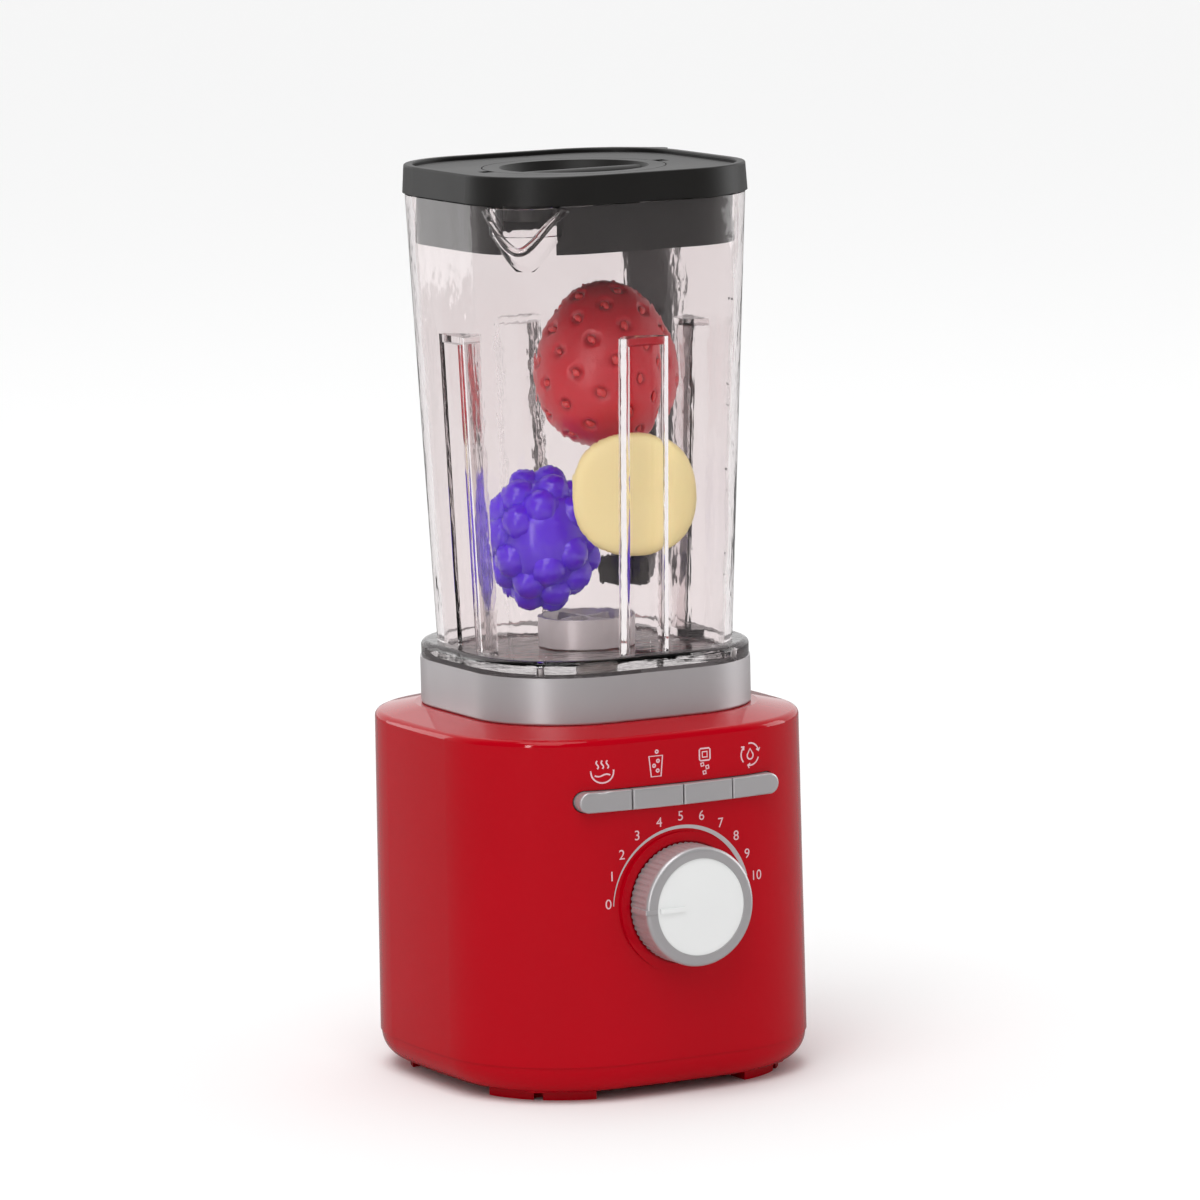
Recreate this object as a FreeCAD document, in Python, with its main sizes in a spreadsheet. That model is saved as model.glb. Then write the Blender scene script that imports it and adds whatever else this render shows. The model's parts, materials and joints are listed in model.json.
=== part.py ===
import FreeCAD, Part
import math
import os
import Sketcher
from FreeCAD import Placement, Rotation, Vector

# Toy blender for a play kitchen, in millimetres, +Z up.
# The origin lies on the floor under the drive axis. The front, with the speed knob and the
# button bar, faces -Y. The pouring spout is over the (-X, -Y) corner, the handle over (+X, +Y).

DRIVING_SIZES = {
    # base: tray, housing and feet
    "foot_height": 3.0, "foot_width": 9.0, "foot_start": 28.0,
    "tray_height": 9.8, "tray_round": 9.4, "tray_inset": 0.4,
    "housing_height": 108.4, "shoulder_rise": 2.8, "base_half": 65.7, "base_top_half": 64.9,
    "base_corner": 46.2, "seat_corner": 36.0, "base_bow": 400.0, "shell_wall": 2.5, "roof": 3.0,
    "edge_round": 2.2, "seat_half": 52.0, "spigot_height": 6.0,
    "boss_reach": 43.0, "boss_radius": 4.5,
    "screw_radius": 1.25, "screw_head": 2.6, "screw_head_height": 1.6, "screw_length": 12.0,
    "screw_clearance": 0.3, "thread_clearance": 0.03,
    # battery box
    "cell_radius": 7.1, "cell_length": 49.2, "cell_gap": 0.6, "box_wall": 1.6, "box_roof": 1.5,
    "nub_radius": 2.7, "nub_height": 1.2, "door_gap": 0.3, "door_lip": 3.0, "door_height": 1.6,
    "rest_radius": 7.0,
    "contact_thick": 0.5, "contact_room": 1.6,
    # drive train
    "shaft_radius": 2.5, "shaft_clearance": 0.05, "gear_module": 0.9, "gear_teeth": 30.0,
    "pinion_teeth": 15.0, "gear_width": 6.0, "pressure_angle": 20.0, "backlash": 0.12,
    "gear_level": 103.0, "hub_radius": 5.0, "plate_thick": 2.5, "plate_gap": 1.0,
    "post_radius": 3.6, "post_reach": 13.0, "motor_radius": 12.0,
    "motor_length": 30.0, "motor_shaft": 1.2, "bush_radius": 4.6, "bush_flange": 7.0,
    "bush_flange_height": 1.2, "dog_radius": 11.0, "dog_inner": 6.0, "dog_height": 4.0,
    "dog_angle": 48.0, "dog_plate": 2.4, "dog_gap": 0.6, "coupler_gap": 0.5,
    # front panel: button bar and speed knob
    "bar_level": 101.1, "bar_height": 6.9, "bar_half_length": 37.5, "bar_gap": 0.3,
    "bar_out": 2.4, "button_split": 0.4, "button_edge": 0.8, "flange_thick": 1.4,
    "flange_lip": 1.2, "flange_room": 1.0, "flange_bow": 150.0, "bar_bow": 260.0, "button_travel": 1.5,
    "travel_room": 0.2, "switch_side": 6.0,
    "switch_height": 3.4, "plunger_radius": 1.6, "plunger_height": 1.0, "board_thick": 1.6,
    "board_half": 44.0, "board_drop": 53.0, "post_inset": 8.0, "post_drop": 6.2,
    "board_rise": 14.0, "board_post": 3.0,
    "knob_level": 65.0, "knob_radius": 19.9, "knob_depth": 12.4, "knob_gap": 0.5,
    "knob_wall": 2.0, "knob_round": 1.6, "dial_radius": 16.2, "dial_recess": 1.0,
    "dial_thick": 0.6, "dial_gap": 0.05, "pointer_width": 1.6, "pointer_length": 9.0,
    "pointer_height": 0.7, "spindle_radius": 3.0, "bead_inner": 20.5,
    "bead_outer": 23.5, "bead_height": 0.9, "knurl_count": 60.0, "knurl_depth": 0.35,
    "rotary_side": 17.0, "neck_radius": 4.6, "neck_height": 0.4,
    # jar, collar and handle
    "collar_height": 15.7, "collar_half": 49.9, "collar_corner": 34.2, "collar_wall": 2.6,
    "collar_shelf": 3.0, "shelf_width": 9.0, "spigot_gap": 0.5, "jar_bow": 1500.0,
    "flange_height": 5.5, "flange_half": 49.6, "flange_round": 2.0, "jar_height": 149.8,
    "jar_foot_half": 44.2, "jar_foot_corner": 29.0, "jar_rim_half": 50.2,
    "jar_rim_corner": 31.5, "jar_wall": 2.5, "jar_floor": 3.3, "rib_top": 105.0,
    "rib_radius": 9.0, "rib_depth": 8.0, "flute_radius": 6.6, "spout_rise": 21.0,
    "spout_lip": 9.0, "spout_radius": 13.6, "spout_reach": 51.6, "spout_root": 5.5,
    "spout_root_reach": 52.0, "spout_wall": 2.2, "rotor_radius": 15.5, "rotor_height": 9.8,
    "rotor_gap": 0.4, "rotor_dish": 3.2, "rotor_rim": 1.5, "vane_width": 1.6,
    "vane_sweep": 8.0, "blade_shaft": 2.0, "jar_bush": 4.4, "screw_ring": 38.0,
    "handle_width": 20.0, "handle_thick": 10.0, "handle_reach": 90.0, "handle_drop": 13.8,
    "handle_bottom": 16.0, "handle_bend": 16.0, "handle_round": 3.6,
    # lid and filler cap
    "lid_gap": 0.6, "lid_height": 9.4, "lid_half": 51.0, "lid_top_half": 50.4,
    "lid_corner": 32.3, "lid_rim": 3.0, "lid_recess": 1.4, "lid_deck": 2.4, "skirt_depth": 16.5,
    "skirt_wall": 2.0, "skirt_gap": 0.5, "lobe_drop": 5.0, "lobe_radius": 9.4,
    "lobe_reach": 48.6, "tab_width": 23.5, "tab_reach": 73.5, "tab_thick": 4.2,
    "tab_round": 3.0, "cap_radius": 30.5, "cap_lip": 2.0, "cap_lip_height": 1.2,
    "cap_depth": 10.0, "cap_gap": 0.35, "cap_wall": 2.0, "dish_radius": 25.0,
    "dish_depth": 5.5, "grip_width": 9.0, "grip_rise": 4.6, "notch_width": 5.0,
    # play food
    "berry_half_width": 15.2, "berry_half_height": 18.8, "drupelet_radius": 6.4,
    "drupelet_rows": 4.0, "food_gap": 0.3, "berry_side": 14.3, "berry_back": 1.8,
    "strawberry_radius": 24.3, "strawberry_height": 56.0,
    "strawberry_egg": 0.14, "strawberry_side": 9.0,
    "strawberry_back": 7.0, "strawberry_level": 208.6, "slice_half": 20.4, "slice_corner": 15.0, "slice_bow": 40.0,
    "slice_thick": 8.0, "slice_round": 1.6, "slice_side": 17.4, "slice_front": 23.5,
    "slice_level": 196.3, "view_turn": 27.93,
}

BUTTON_NAMES = ("button_soup", "button_smoothie", "button_ice", "button_clean")

doc = FreeCAD.newDocument("ToyBlender")
sheet = doc.addObject("Spreadsheet::Sheet", "Sizes")
for row, (alias, number) in enumerate(DRIVING_SIZES.items(), start=1):
    sheet.set("A%d" % row, alias)
    sheet.set("B%d" % row, str(number))
    sheet.setAlias("B%d" % row, alias)
doc.recompute()


def value(expression):
    """Number that an expression on the size sheet gives now."""
    return float(sheet.evalExpression(expression))


def size(alias):
    """Expression for one cell of the size sheet."""
    return "Sizes.%s" % alias


# Levels that several pieces share, as expressions above the floor
SEAM = "(Sizes.foot_height + Sizes.tray_height)"
EDGE = "(%s + Sizes.housing_height)" % SEAM
SEAT = "(%s + Sizes.shoulder_rise)" % EDGE
FLANGE = "(%s + Sizes.collar_height)" % SEAT
JAR_FLOOR = "(%s + Sizes.jar_floor)" % FLANGE
JAR_FOOT = "(%s + Sizes.flange_height)" % FLANGE
JAR_RIM = "(%s + Sizes.jar_height)" % JAR_FOOT
LID = "(%s + Sizes.lid_gap)" % JAR_RIM
LID_TOP = "(%s + Sizes.lid_height)" % LID
LID_DECK = "(%s - Sizes.lid_recess)" % LID_TOP
TRAY_FLOOR = "(Sizes.foot_height + Sizes.shell_wall)"
ROTOR_TOP = "(%s + Sizes.rotor_gap + Sizes.rotor_height)" % JAR_FLOOR

# Depths behind the front face, as expressions along -Y
BAR_SKIN = "((Sizes.base_half + Sizes.base_top_half) / 2)"
FLANGE_FACE = "(%s - Sizes.shell_wall - Sizes.flange_room)" % BAR_SKIN
FLANGE_DROP = "(Sizes.bar_half_length * Sizes.bar_half_length / (2 * Sizes.flange_bow))"
FLANGE_BACK = "(%s - %s - Sizes.flange_thick)" % (FLANGE_FACE, FLANGE_DROP)
PLUNGER_FACE = "(%s - Sizes.button_travel - Sizes.travel_room)" % FLANGE_BACK
BOARD_FACE = "(%s - Sizes.plunger_height - Sizes.switch_height)" % PLUNGER_FACE

CUTS = ("PartDesign::Pocket", "PartDesign::Groove", "PartDesign::SubtractiveLoft")


def pin(sketch, geometry, point, x, y):
    """Fix one point of a sketch at two expressions."""
    for kind, expression in (("DistanceX", x), ("DistanceY", y)):
        rule = Sketcher.Constraint(kind, -1, 1, geometry, point, value(expression))
        index = sketch.addConstraint(rule)
        sketch.setExpression("Constraints[%d]" % index, expression)


def radius_rule(sketch, geometry, expression):
    """Give a circle or an arc its radius from an expression."""
    index = sketch.addConstraint(Sketcher.Constraint("Radius", geometry, value(expression)))
    sketch.setExpression("Constraints[%d]" % index, expression)


def disc(radius, x="0", y="0"):
    """Drawing of one circle."""
    def draw(sketch):
        circle = Part.Circle(Vector(value(x), value(y), 0), Vector(0, 0, 1), value(radius))
        index = sketch.addGeometry(circle, False)
        radius_rule(sketch, index, radius)
        pin(sketch, index, 3, x, y)
    return draw


def polygon(*corners):
    """Drawing of a closed outline through corners given as pairs of expressions."""
    def draw(sketch):
        first = sketch.GeometryCount
        places = [Vector(value(x), value(y), 0) for x, y in corners]
        for number, place in enumerate(places):
            after = places[(number + 1) % len(places)]
            sketch.addGeometry(Part.LineSegment(place, after), False)
        for number, (x, y) in enumerate(corners):
            after = first + (number + 1) % len(corners)
            sketch.addConstraint(Sketcher.Constraint("Coincident", first + number, 2, after, 1))
            pin(sketch, first + number, 1, x, y)
    return draw


def block(half_x, half_y, x="0", y="0"):
    """Drawing of a rectangle about a centre."""
    left, right = "%s - %s" % (x, half_x), "%s + %s" % (x, half_x)
    low, high = "%s - %s" % (y, half_y), "%s + %s" % (y, half_y)
    return polygon((left, low), (right, low), (right, high), (left, high))


def soft_square(half, corner, bow):
    """Drawing of a square of four shallow side arcs and four corner arcs, all tangent."""
    def draw(sketch):
        side_radius, corner_radius = value(bow), value(corner)
        back = side_radius - value(half)
        root = 4 * back * back - 8 * (back * back - (side_radius - corner_radius) ** 2)
        centre = (math.sqrt(root) - 2 * back) / 4
        meet = math.atan2(centre, centre + back)
        first = sketch.GeometryCount
        for number in range(4):
            turn = math.pi / 2 * number
            cosine, sine = math.cos(turn), math.sin(turn)
            side_centre = Vector(-back * cosine, -back * sine, 0)
            side = Part.Circle(side_centre, Vector(0, 0, 1), side_radius)
            sketch.addGeometry(Part.ArcOfCircle(side, turn - meet, turn + meet), False)
            corner_centre = Vector(centre * (cosine - sine), centre * (sine + cosine), 0)
            bend = Part.Circle(corner_centre, Vector(0, 0, 1), corner_radius)
            end = turn + math.pi / 2 - meet
            sketch.addGeometry(Part.ArcOfCircle(bend, turn + meet, end), False)
        for number in range(8):
            after = first + (number + 1) % 8
            sketch.addConstraint(Sketcher.Constraint("Tangent", first + number, 2, after, 1))
        shift = "(%s - (%s))" % (bow, half)
        centres = (("-" + shift, "0"), ("0", "-" + shift), (shift, "0"), ("0", shift))
        for number, (x, y) in enumerate(centres):
            pin(sketch, first + 2 * number, 3, x, y)
        for start, expression in ((first, bow), (first + 1, corner)):
            radius_rule(sketch, start, expression)
            for number in range(1, 4):
                sketch.addConstraint(Sketcher.Constraint("Equal", start, start + 2 * number))
    return draw


def several(*drawings):
    """Drawing made of other drawings, such as the two outlines of a ring."""
    def draw(sketch):
        for drawing in drawings:
            drawing(sketch)
    return draw


class Piece:
    """One sub-part: a body with its own label and place, built feature by feature."""

    def __init__(self, label, x="0", y="0", z="0", turn=None):
        self.body = doc.addObject("PartDesign::Body", label)
        self.body.Label = label
        if turn:
            self.body.Placement = Placement(Vector(), turn)
        for axis, expression in (("x", x), ("y", y), ("z", z)):
            self.body.setExpression("Placement.Base." + axis, expression)

    def sketch(self, name, draw, start="0", plane="XY_Plane", turn=None):
        """Sketch on an origin plane, raised along its normal by start."""
        sketch = self.body.newObject("Sketcher::SketchObject", name + "Sketch")
        support = [item for item in self.body.Origin.OriginFeatures if item.Role == plane]
        sketch.AttachmentSupport = [(support[0], "")]
        sketch.MapMode = "FlatFace"
        if turn:
            sketch.AttachmentOffset = Placement(Vector(), turn)
        sketch.setExpression("AttachmentOffset.Base.z", start)
        draw(sketch)
        return sketch

    def extrude(self, name, draw, start, length, plane="XY_Plane", cut=False, turn=None):
        """Pad or pocket that runs from start along the plane's normal by length."""
        kind = "PartDesign::Pocket" if cut else "PartDesign::Pad"
        feature = self.body.newObject(kind, name)
        feature.Profile = self.sketch(name, draw, start, plane, turn)
        feature.setExpression("Length", length)
        feature.Reversed = cut
        return feature

    def cut(self, name, draw, start, length, plane="XY_Plane", turn=None):
        """Pocket that runs from start along the plane's normal by length."""
        return self.extrude(name, draw, start, length, plane, True, turn)

    def revolve(self, name, corners, cut=False):
        """Full turn about the piece's own Z of an outline in radius and height."""
        kind = "PartDesign::Groove" if cut else "PartDesign::Revolution"
        sketch = self.sketch(name, polygon(*corners), "0", "XZ_Plane")
        feature = self.body.newObject(kind, name)
        feature.Profile = sketch
        feature.ReferenceAxis = (sketch, ["V_Axis"])
        feature.Angle = 360.0
        return feature

    def loft(self, name, sections, cut=False, ruled=True, turn=None):
        """Loft through drawings given with their heights."""
        sketches = [self.sketch("%s%d" % (name, number), draw, level, turn=turn)
                    for number, (level, draw) in enumerate(sections)]
        kind = "PartDesign::SubtractiveLoft" if cut else "PartDesign::AdditiveLoft"
        feature = self.body.newObject(kind, name)
        feature.Profile = sketches[0]
        feature.Sections = sketches[1:]
        feature.Ruled = ruled
        return feature

    def fillet(self, name, radius, chosen, kind="PartDesign::Fillet"):
        """Round or chamfer the edges that the test chooses."""
        doc.recompute()
        base = self.body.Tip
        names = ["Edge%d" % number for number, edge in enumerate(base.Shape.Edges, start=1)
                 if chosen(edge)]
        feature = self.body.newObject(kind, name)
        feature.Base = (base, names)
        feature.setExpression("Radius" if kind.endswith("Fillet") else "Size", radius)
        return feature

    def around(self, name, originals, count):
        """Repeat features evenly around the piece's own Z."""
        pattern = self.body.newObject("PartDesign::PolarPattern", name)
        pattern.Originals = originals
        axis = [item for item in self.body.Origin.OriginFeatures if item.Role == "Z_Axis"]
        pattern.Axis = (axis[0], [""])
        pattern.Angle = 360.0
        pattern.setExpression("Occurrences", count)
        self.body.Tip = pattern
        return pattern


def level_edges(level):
    """Test for edges that lie whole at one height."""
    height = value(level)

    def chosen(edge):
        return all(abs(vertex.Z - height) < 0.01 for vertex in edge.Vertexes)
    return chosen


def group(label, shapes):
    """Sub-part of identical separate solids."""
    feature = doc.addObject("Part::Feature", label)
    feature.Label = label
    feature.Shape = Part.makeCompound(shapes)
    return feature


FACE_FRONT = Rotation(Vector(1, 0, 0), 90)
CORNERS = ((1, 1), (-1, 1), (-1, -1), (1, -1))


def signed(sign, expression):
    """Expression with the sign of one corner or side."""
    return "%d * %s" % (sign, expression)


# Base: the outer shell with its shoulder, deck, bosses and panel openings
def base_housing():
    piece = Piece("base_housing")
    corner, bow, wall = size("base_corner"), size("base_bow"), size("shell_wall")
    top_corner = "(Sizes.base_corner - Sizes.base_half + Sizes.base_top_half)"
    roof_under = "(%s - Sizes.roof)" % EDGE
    piece.loft("Skin", [(SEAM, soft_square(size("base_half"), corner, bow)),
                        (EDGE, soft_square(size("base_top_half"), top_corner, bow))])
    piece.loft("Shoulder", [
        (EDGE, soft_square(size("base_top_half"), top_corner, bow)),
        (SEAT, soft_square(size("seat_half"), size("seat_corner"), size("jar_bow")))])
    piece.fillet("TopEdge", size("edge_round"), level_edges(EDGE))
    piece.loft("Cavity", [
        (SEAM, soft_square("(Sizes.base_half - %s)" % wall, "(%s - %s)" % (corner, wall),
                           "(%s - %s)" % (bow, wall))),
        (roof_under, soft_square("(Sizes.base_top_half - %s)" % wall,
                                 "(%s - %s)" % (top_corner, wall), "(%s - %s)" % (bow, wall)))],
        cut=True)
    spigot = "(Sizes.collar_half - Sizes.collar_wall - Sizes.spigot_gap)"
    spigot_corner = "(Sizes.collar_corner - Sizes.collar_wall - Sizes.spigot_gap)"
    piece.extrude("Spigot", several(
        soft_square(spigot, spigot_corner, size("jar_bow")),
        soft_square("(%s - %s)" % (spigot, wall), "(%s - %s)" % (spigot_corner, wall),
                    size("jar_bow"))),
        "%s - 1" % SEAT, "Sizes.spigot_height + 1")
    piece.cut("BushHole", disc(size("bush_radius")), roof_under, "Sizes.roof + 10")
    for number, (sx, sy) in enumerate(CORNERS):
        x, y = signed(sx, size("boss_reach")), signed(sy, size("boss_reach"))
        boss_height = "(%s - %s)" % (roof_under, SEAM)
        piece.extrude("Boss%d" % number, disc(size("boss_radius"), x, y), SEAM, boss_height)
        piece.cut("BossHole%d" % number,
                  disc("(Sizes.screw_radius + Sizes.thread_clearance)", x, y), SEAM,
                  size("screw_length"))
    plate_top = PLATE_TOP
    for number, (x, y) in enumerate(POSTS):
        piece.extrude("Post%d" % number, disc(size("post_radius"), x, y), plate_top,
                      "(%s - %s)" % (roof_under, plate_top))
        piece.cut("PostHole%d" % number,
                  disc("(Sizes.screw_radius + Sizes.thread_clearance)", x, y), plate_top,
                  "(%s - %s)" % (roof_under, plate_top))
    for number, (x, z) in enumerate(BOARD_POSTS):
        piece.extrude("BoardPost%d" % number, disc(size("board_post"), x, z), BOARD_FACE,
                      "(%s - %s)" % (POST_ROOT, BOARD_FACE), "XZ_Plane")
        piece.cut("BoardPostHole%d" % number,
                  disc("(Sizes.screw_radius + Sizes.thread_clearance)", x, z), BOARD_FACE,
                  "(%s - %s - 1)" % (POST_ROOT, BOARD_FACE), "XZ_Plane")
    piece.extrude("Bead", several(disc(size("bead_outer"), "0", size("knob_level")),
                                  disc(size("bead_inner"), "0", size("knob_level"))),
                  "(%s - Sizes.shell_wall)" % KNOB_SKIN, "(Sizes.shell_wall + Sizes.bead_height)",
                  "XZ_Plane")
    piece.cut("NeckHole", disc("(Sizes.neck_radius + Sizes.bar_gap)", "0", size("knob_level")),
              "(%s - Sizes.shell_wall - 4)" % KNOB_SKIN, "Sizes.shell_wall + 8", "XZ_Plane")
    half_slot = "(Sizes.bar_height / 2 + Sizes.bar_gap)"
    straight = "(Sizes.bar_half_length - Sizes.bar_height / 2)"
    for name, draw in (
            ("Slot", block(straight, half_slot, "0", size("bar_level"))),
            ("SlotLeft", disc(half_slot, "-" + straight, size("bar_level"))),
            ("SlotRight", disc(half_slot, straight, size("bar_level")))):
        piece.cut(name, draw, FLANGE_BACK, "(%s - %s + 4)" % (BAR_SKIN, FLANGE_BACK), "XZ_Plane")
    return piece


KNOB_SKIN = "(Sizes.base_half - (Sizes.base_half - Sizes.base_top_half) * 0.48)"
POST_ROOT = "(%s - Sizes.post_drop)" % BAR_SKIN
PLATE_TOP = "(Sizes.gear_level - Sizes.plate_gap)"
BOARD_POSTS = [(signed(sx, "(Sizes.board_half - Sizes.post_inset)"), z) for sx in (-1, 1)
               for z in ("(Sizes.bar_level + Sizes.board_rise - 4)",
                         "(Sizes.bar_level - Sizes.board_drop + 4)")]
MOTOR_REACH = "(Sizes.gear_module * (Sizes.gear_teeth + Sizes.pinion_teeth) / 2)"
POSTS = [("-(Sizes.post_reach + 8)", "-1 * Sizes.post_reach"),
         ("(Sizes.post_reach + 8)", "-1 * Sizes.post_reach"),
         ("-(Sizes.post_reach + 3)", "(%s + Sizes.post_reach)" % MOTOR_REACH),
         ("(Sizes.post_reach + 3)", "(%s + Sizes.post_reach)" % MOTOR_REACH)]


# Tray: the moulded foot of the base, with the battery box and four corner feet
def base_tray():
    piece = Piece("base_tray")
    half = "(Sizes.base_half - Sizes.tray_inset)"
    corner = "(Sizes.base_corner - Sizes.tray_inset)"
    bow, wall = size("base_bow"), size("shell_wall")
    piece.extrude("Pan", soft_square(half, corner, bow), size("foot_height"),
                  size("tray_height"))
    piece.fillet("PanRound", size("tray_round"), level_edges(size("foot_height")))
    inner = "(%s - Sizes.tray_round)" % half
    inner_corner = "(%s - Sizes.tray_round)" % corner
    piece.cut("PanHollow", soft_square("(%s - %s)" % (inner, wall), inner_corner, bow),
              TRAY_FLOOR, "Sizes.tray_height")
    piece.extrude("FeetRing", several(
        soft_square(inner, inner_corner, bow),
        soft_square("(%s - Sizes.foot_width)" % inner,
                    "(%s - Sizes.foot_width)" % inner_corner, bow)),
        "0", "Sizes.foot_height + 0.5")
    long_way = "(2 * Sizes.base_half)"
    piece.cut("FeetGapX", block(long_way, size("foot_start")), "0", size("foot_height"))
    piece.cut("FeetGapY", block(size("foot_start"), long_way), "0", size("foot_height"))
    outer_x, outer_y = "(%s + Sizes.box_wall)" % BOX_X, "(%s + Sizes.box_wall)" % BOX_Y
    piece.extrude("BatteryBox", block(outer_x, outer_y), TRAY_FLOOR,
                  "(%s + Sizes.box_roof)" % BOX_HEIGHT)
    piece.cut("BatteryRoom", block(BOX_X, BOX_Y), size("foot_height"),
              "(Sizes.shell_wall + %s)" % BOX_HEIGHT)
    piece.cut("DoorSeat", block("(%s + Sizes.door_lip)" % BOX_X, "(%s + Sizes.door_lip)" % BOX_Y),
              size("foot_height"), size("door_height"))
    for number, (sx, sy) in enumerate(CORNERS):
        x, y = signed(sx, size("boss_reach")), signed(sy, size("boss_reach"))
        piece.extrude("Boss%d" % number, disc("(Sizes.boss_radius + 1)", x, y),
                      size("foot_height"), size("tray_height"))
        piece.cut("HeadHole%d" % number, disc("(Sizes.screw_head + Sizes.screw_clearance)", x, y),
                  "0", HEAD_LEVEL)
        piece.cut("ShankHole%d" % number,
                  disc("(Sizes.screw_radius + Sizes.screw_clearance)", x, y), "0", SEAM)
    piece.extrude("DoorBoss", disc(size("boss_radius"), "0", DOOR_SCREW_Y),
                  "(Sizes.foot_height + Sizes.door_height)", DOOR_SCREW_LENGTH)
    piece.cut("DoorBossHole",
              disc("(Sizes.screw_radius + Sizes.thread_clearance)", "0", DOOR_SCREW_Y),
              "(Sizes.foot_height + Sizes.door_height)", DOOR_SCREW_LENGTH)
    piece.cut("DoorTongueSeat", polygon(
        ("-6.3", BOX_Y), ("6.3", BOX_Y), ("6.3", "(%s + 3.3)" % DOOR_SCREW_Y),
        ("-6.3", "(%s + 3.3)" % DOOR_SCREW_Y)), size("foot_height"), size("door_height"))
    return piece


BOX_X = "(3 * Sizes.cell_radius + 2 * Sizes.cell_gap)"
BOX_Y = "(Sizes.cell_length / 2 + Sizes.nub_height / 2 + Sizes.contact_room)"
BOX_HEIGHT = "(2 * Sizes.cell_radius + Sizes.cell_gap)"
HEAD_LEVEL = "(Sizes.foot_height + Sizes.tray_height - 4)"
DOOR_SCREW_Y = "(%s + Sizes.box_wall + Sizes.boss_radius + 0.6)" % BOX_Y
DOOR_SCREW_LENGTH = "(Sizes.tray_height - Sizes.door_height)"
CELL_LEVEL = "(%s + Sizes.cell_radius + Sizes.cell_gap / 2)" % TRAY_FLOOR


def battery_door():
    piece = Piece("battery_door", z=size("foot_height"))
    lip = "(Sizes.door_lip - Sizes.door_gap)"
    piece.extrude("Panel", block("(%s + %s)" % (BOX_X, lip), "(%s + %s)" % (BOX_Y, lip)),
                  "0", "(Sizes.door_height - 0.1)")
    piece.extrude("Tongue", polygon(
        ("-6", BOX_Y), ("6", BOX_Y), ("6", "(%s + 3)" % DOOR_SCREW_Y),
        ("-6", "(%s + 3)" % DOOR_SCREW_Y)), "0", "(Sizes.door_height - 0.1)")
    piece.cut("ScrewHole", disc("(Sizes.screw_radius + Sizes.screw_clearance)", "0",
                                DOOR_SCREW_Y), "0", size("door_height"))
    piece.extrude("Pad", block("(%s - 1)" % BOX_X, "(%s - 1)" % BOX_Y), "0",
                  "(Sizes.shell_wall - 0.3)")
    for number in range(5):
        across = signed(number - 2, "3.2")
        piece.cut("GripGroove%d" % number, block("9", "0.5", "0", "(%s - 6)" % across), "0",
                  "0.5")
    piece.extrude("RestPad", disc(size("rest_radius")), "-1 * Sizes.foot_height",
                  "(Sizes.foot_height + 1)")
    return piece


def screw(place, length, axis):
    """Pan-head screw whose head seats at place and whose shank runs along axis."""
    head = Part.makeCylinder(value(size("screw_head")), value(size("screw_head_height")),
                             place, -axis)
    shank = Part.makeCylinder(value(size("screw_radius")), length, place, axis)
    drive = Part.makeBox(3.2, 0.7, 0.7, Vector(-1.6, -0.35, -0.35))
    drive.Placement = Placement(place - axis * value(size("screw_head_height")),
                                Rotation(Vector(0, 0, 1), axis))
    return head.fuse(shank).cut(drive).removeSplitter()


def housing_screws():
    reach = value(size("boss_reach"))
    level = value(HEAD_LEVEL)
    length = value("(%s - %s) + Sizes.screw_length - 1" % (SEAM, HEAD_LEVEL))
    return group("housing_screws", [screw(Vector(sx * reach, sy * reach, level), length,
                                          Vector(0, 0, 1)) for sx, sy in CORNERS])


def battery_door_screw():
    place = Vector(0, value(DOOR_SCREW_Y), value("Sizes.foot_height"))
    length = value("Sizes.door_height + %s - 0.5" % DOOR_SCREW_LENGTH)
    return group("battery_door_screw", [screw(place, length, Vector(0, 0, 1))])


def battery_cells():
    shapes = []
    pitch = value("2 * Sizes.cell_radius + Sizes.cell_gap")
    length, nub = value(size("cell_length")), value(size("nub_height"))
    for number, way in ((-1, 1), (0, -1), (1, 1)):
        low = Vector(number * pitch, -way * (length + nub) / 2, value(CELL_LEVEL))
        along = Vector(0, way, 0)
        can = Part.makeCylinder(value(size("cell_radius")), length, low, along)
        button = Part.makeCylinder(value(size("nub_radius")), nub, low + along * length, along)
        shapes.append(can.fuse(button))
    return group("battery_cells", shapes)


def battery_contacts():
    shapes = []
    thick = value(size("contact_thick"))
    pitch = value("2 * Sizes.cell_radius + Sizes.cell_gap")
    width = value("2 * Sizes.cell_radius - 3")
    level = value(CELL_LEVEL)
    wall = value(BOX_Y)
    reach = value("Sizes.contact_room - 0.3")
    for side in (-1, 1):
        for number in (-1, 0, 1):
            plate = Part.makeBox(width, thick, width)
            plate.translate(Vector(number * pitch - width / 2,
                                   side * wall - thick / 2 - side * thick / 2, level - width / 2))
            dome = Part.makeCone(3.0, 1.6, reach - thick,
                                 Vector(number * pitch, side * (wall - thick), level),
                                 Vector(0, -side, 0))
            shapes.append(plate.fuse(dome))
    return group("battery_contacts", shapes)


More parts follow.
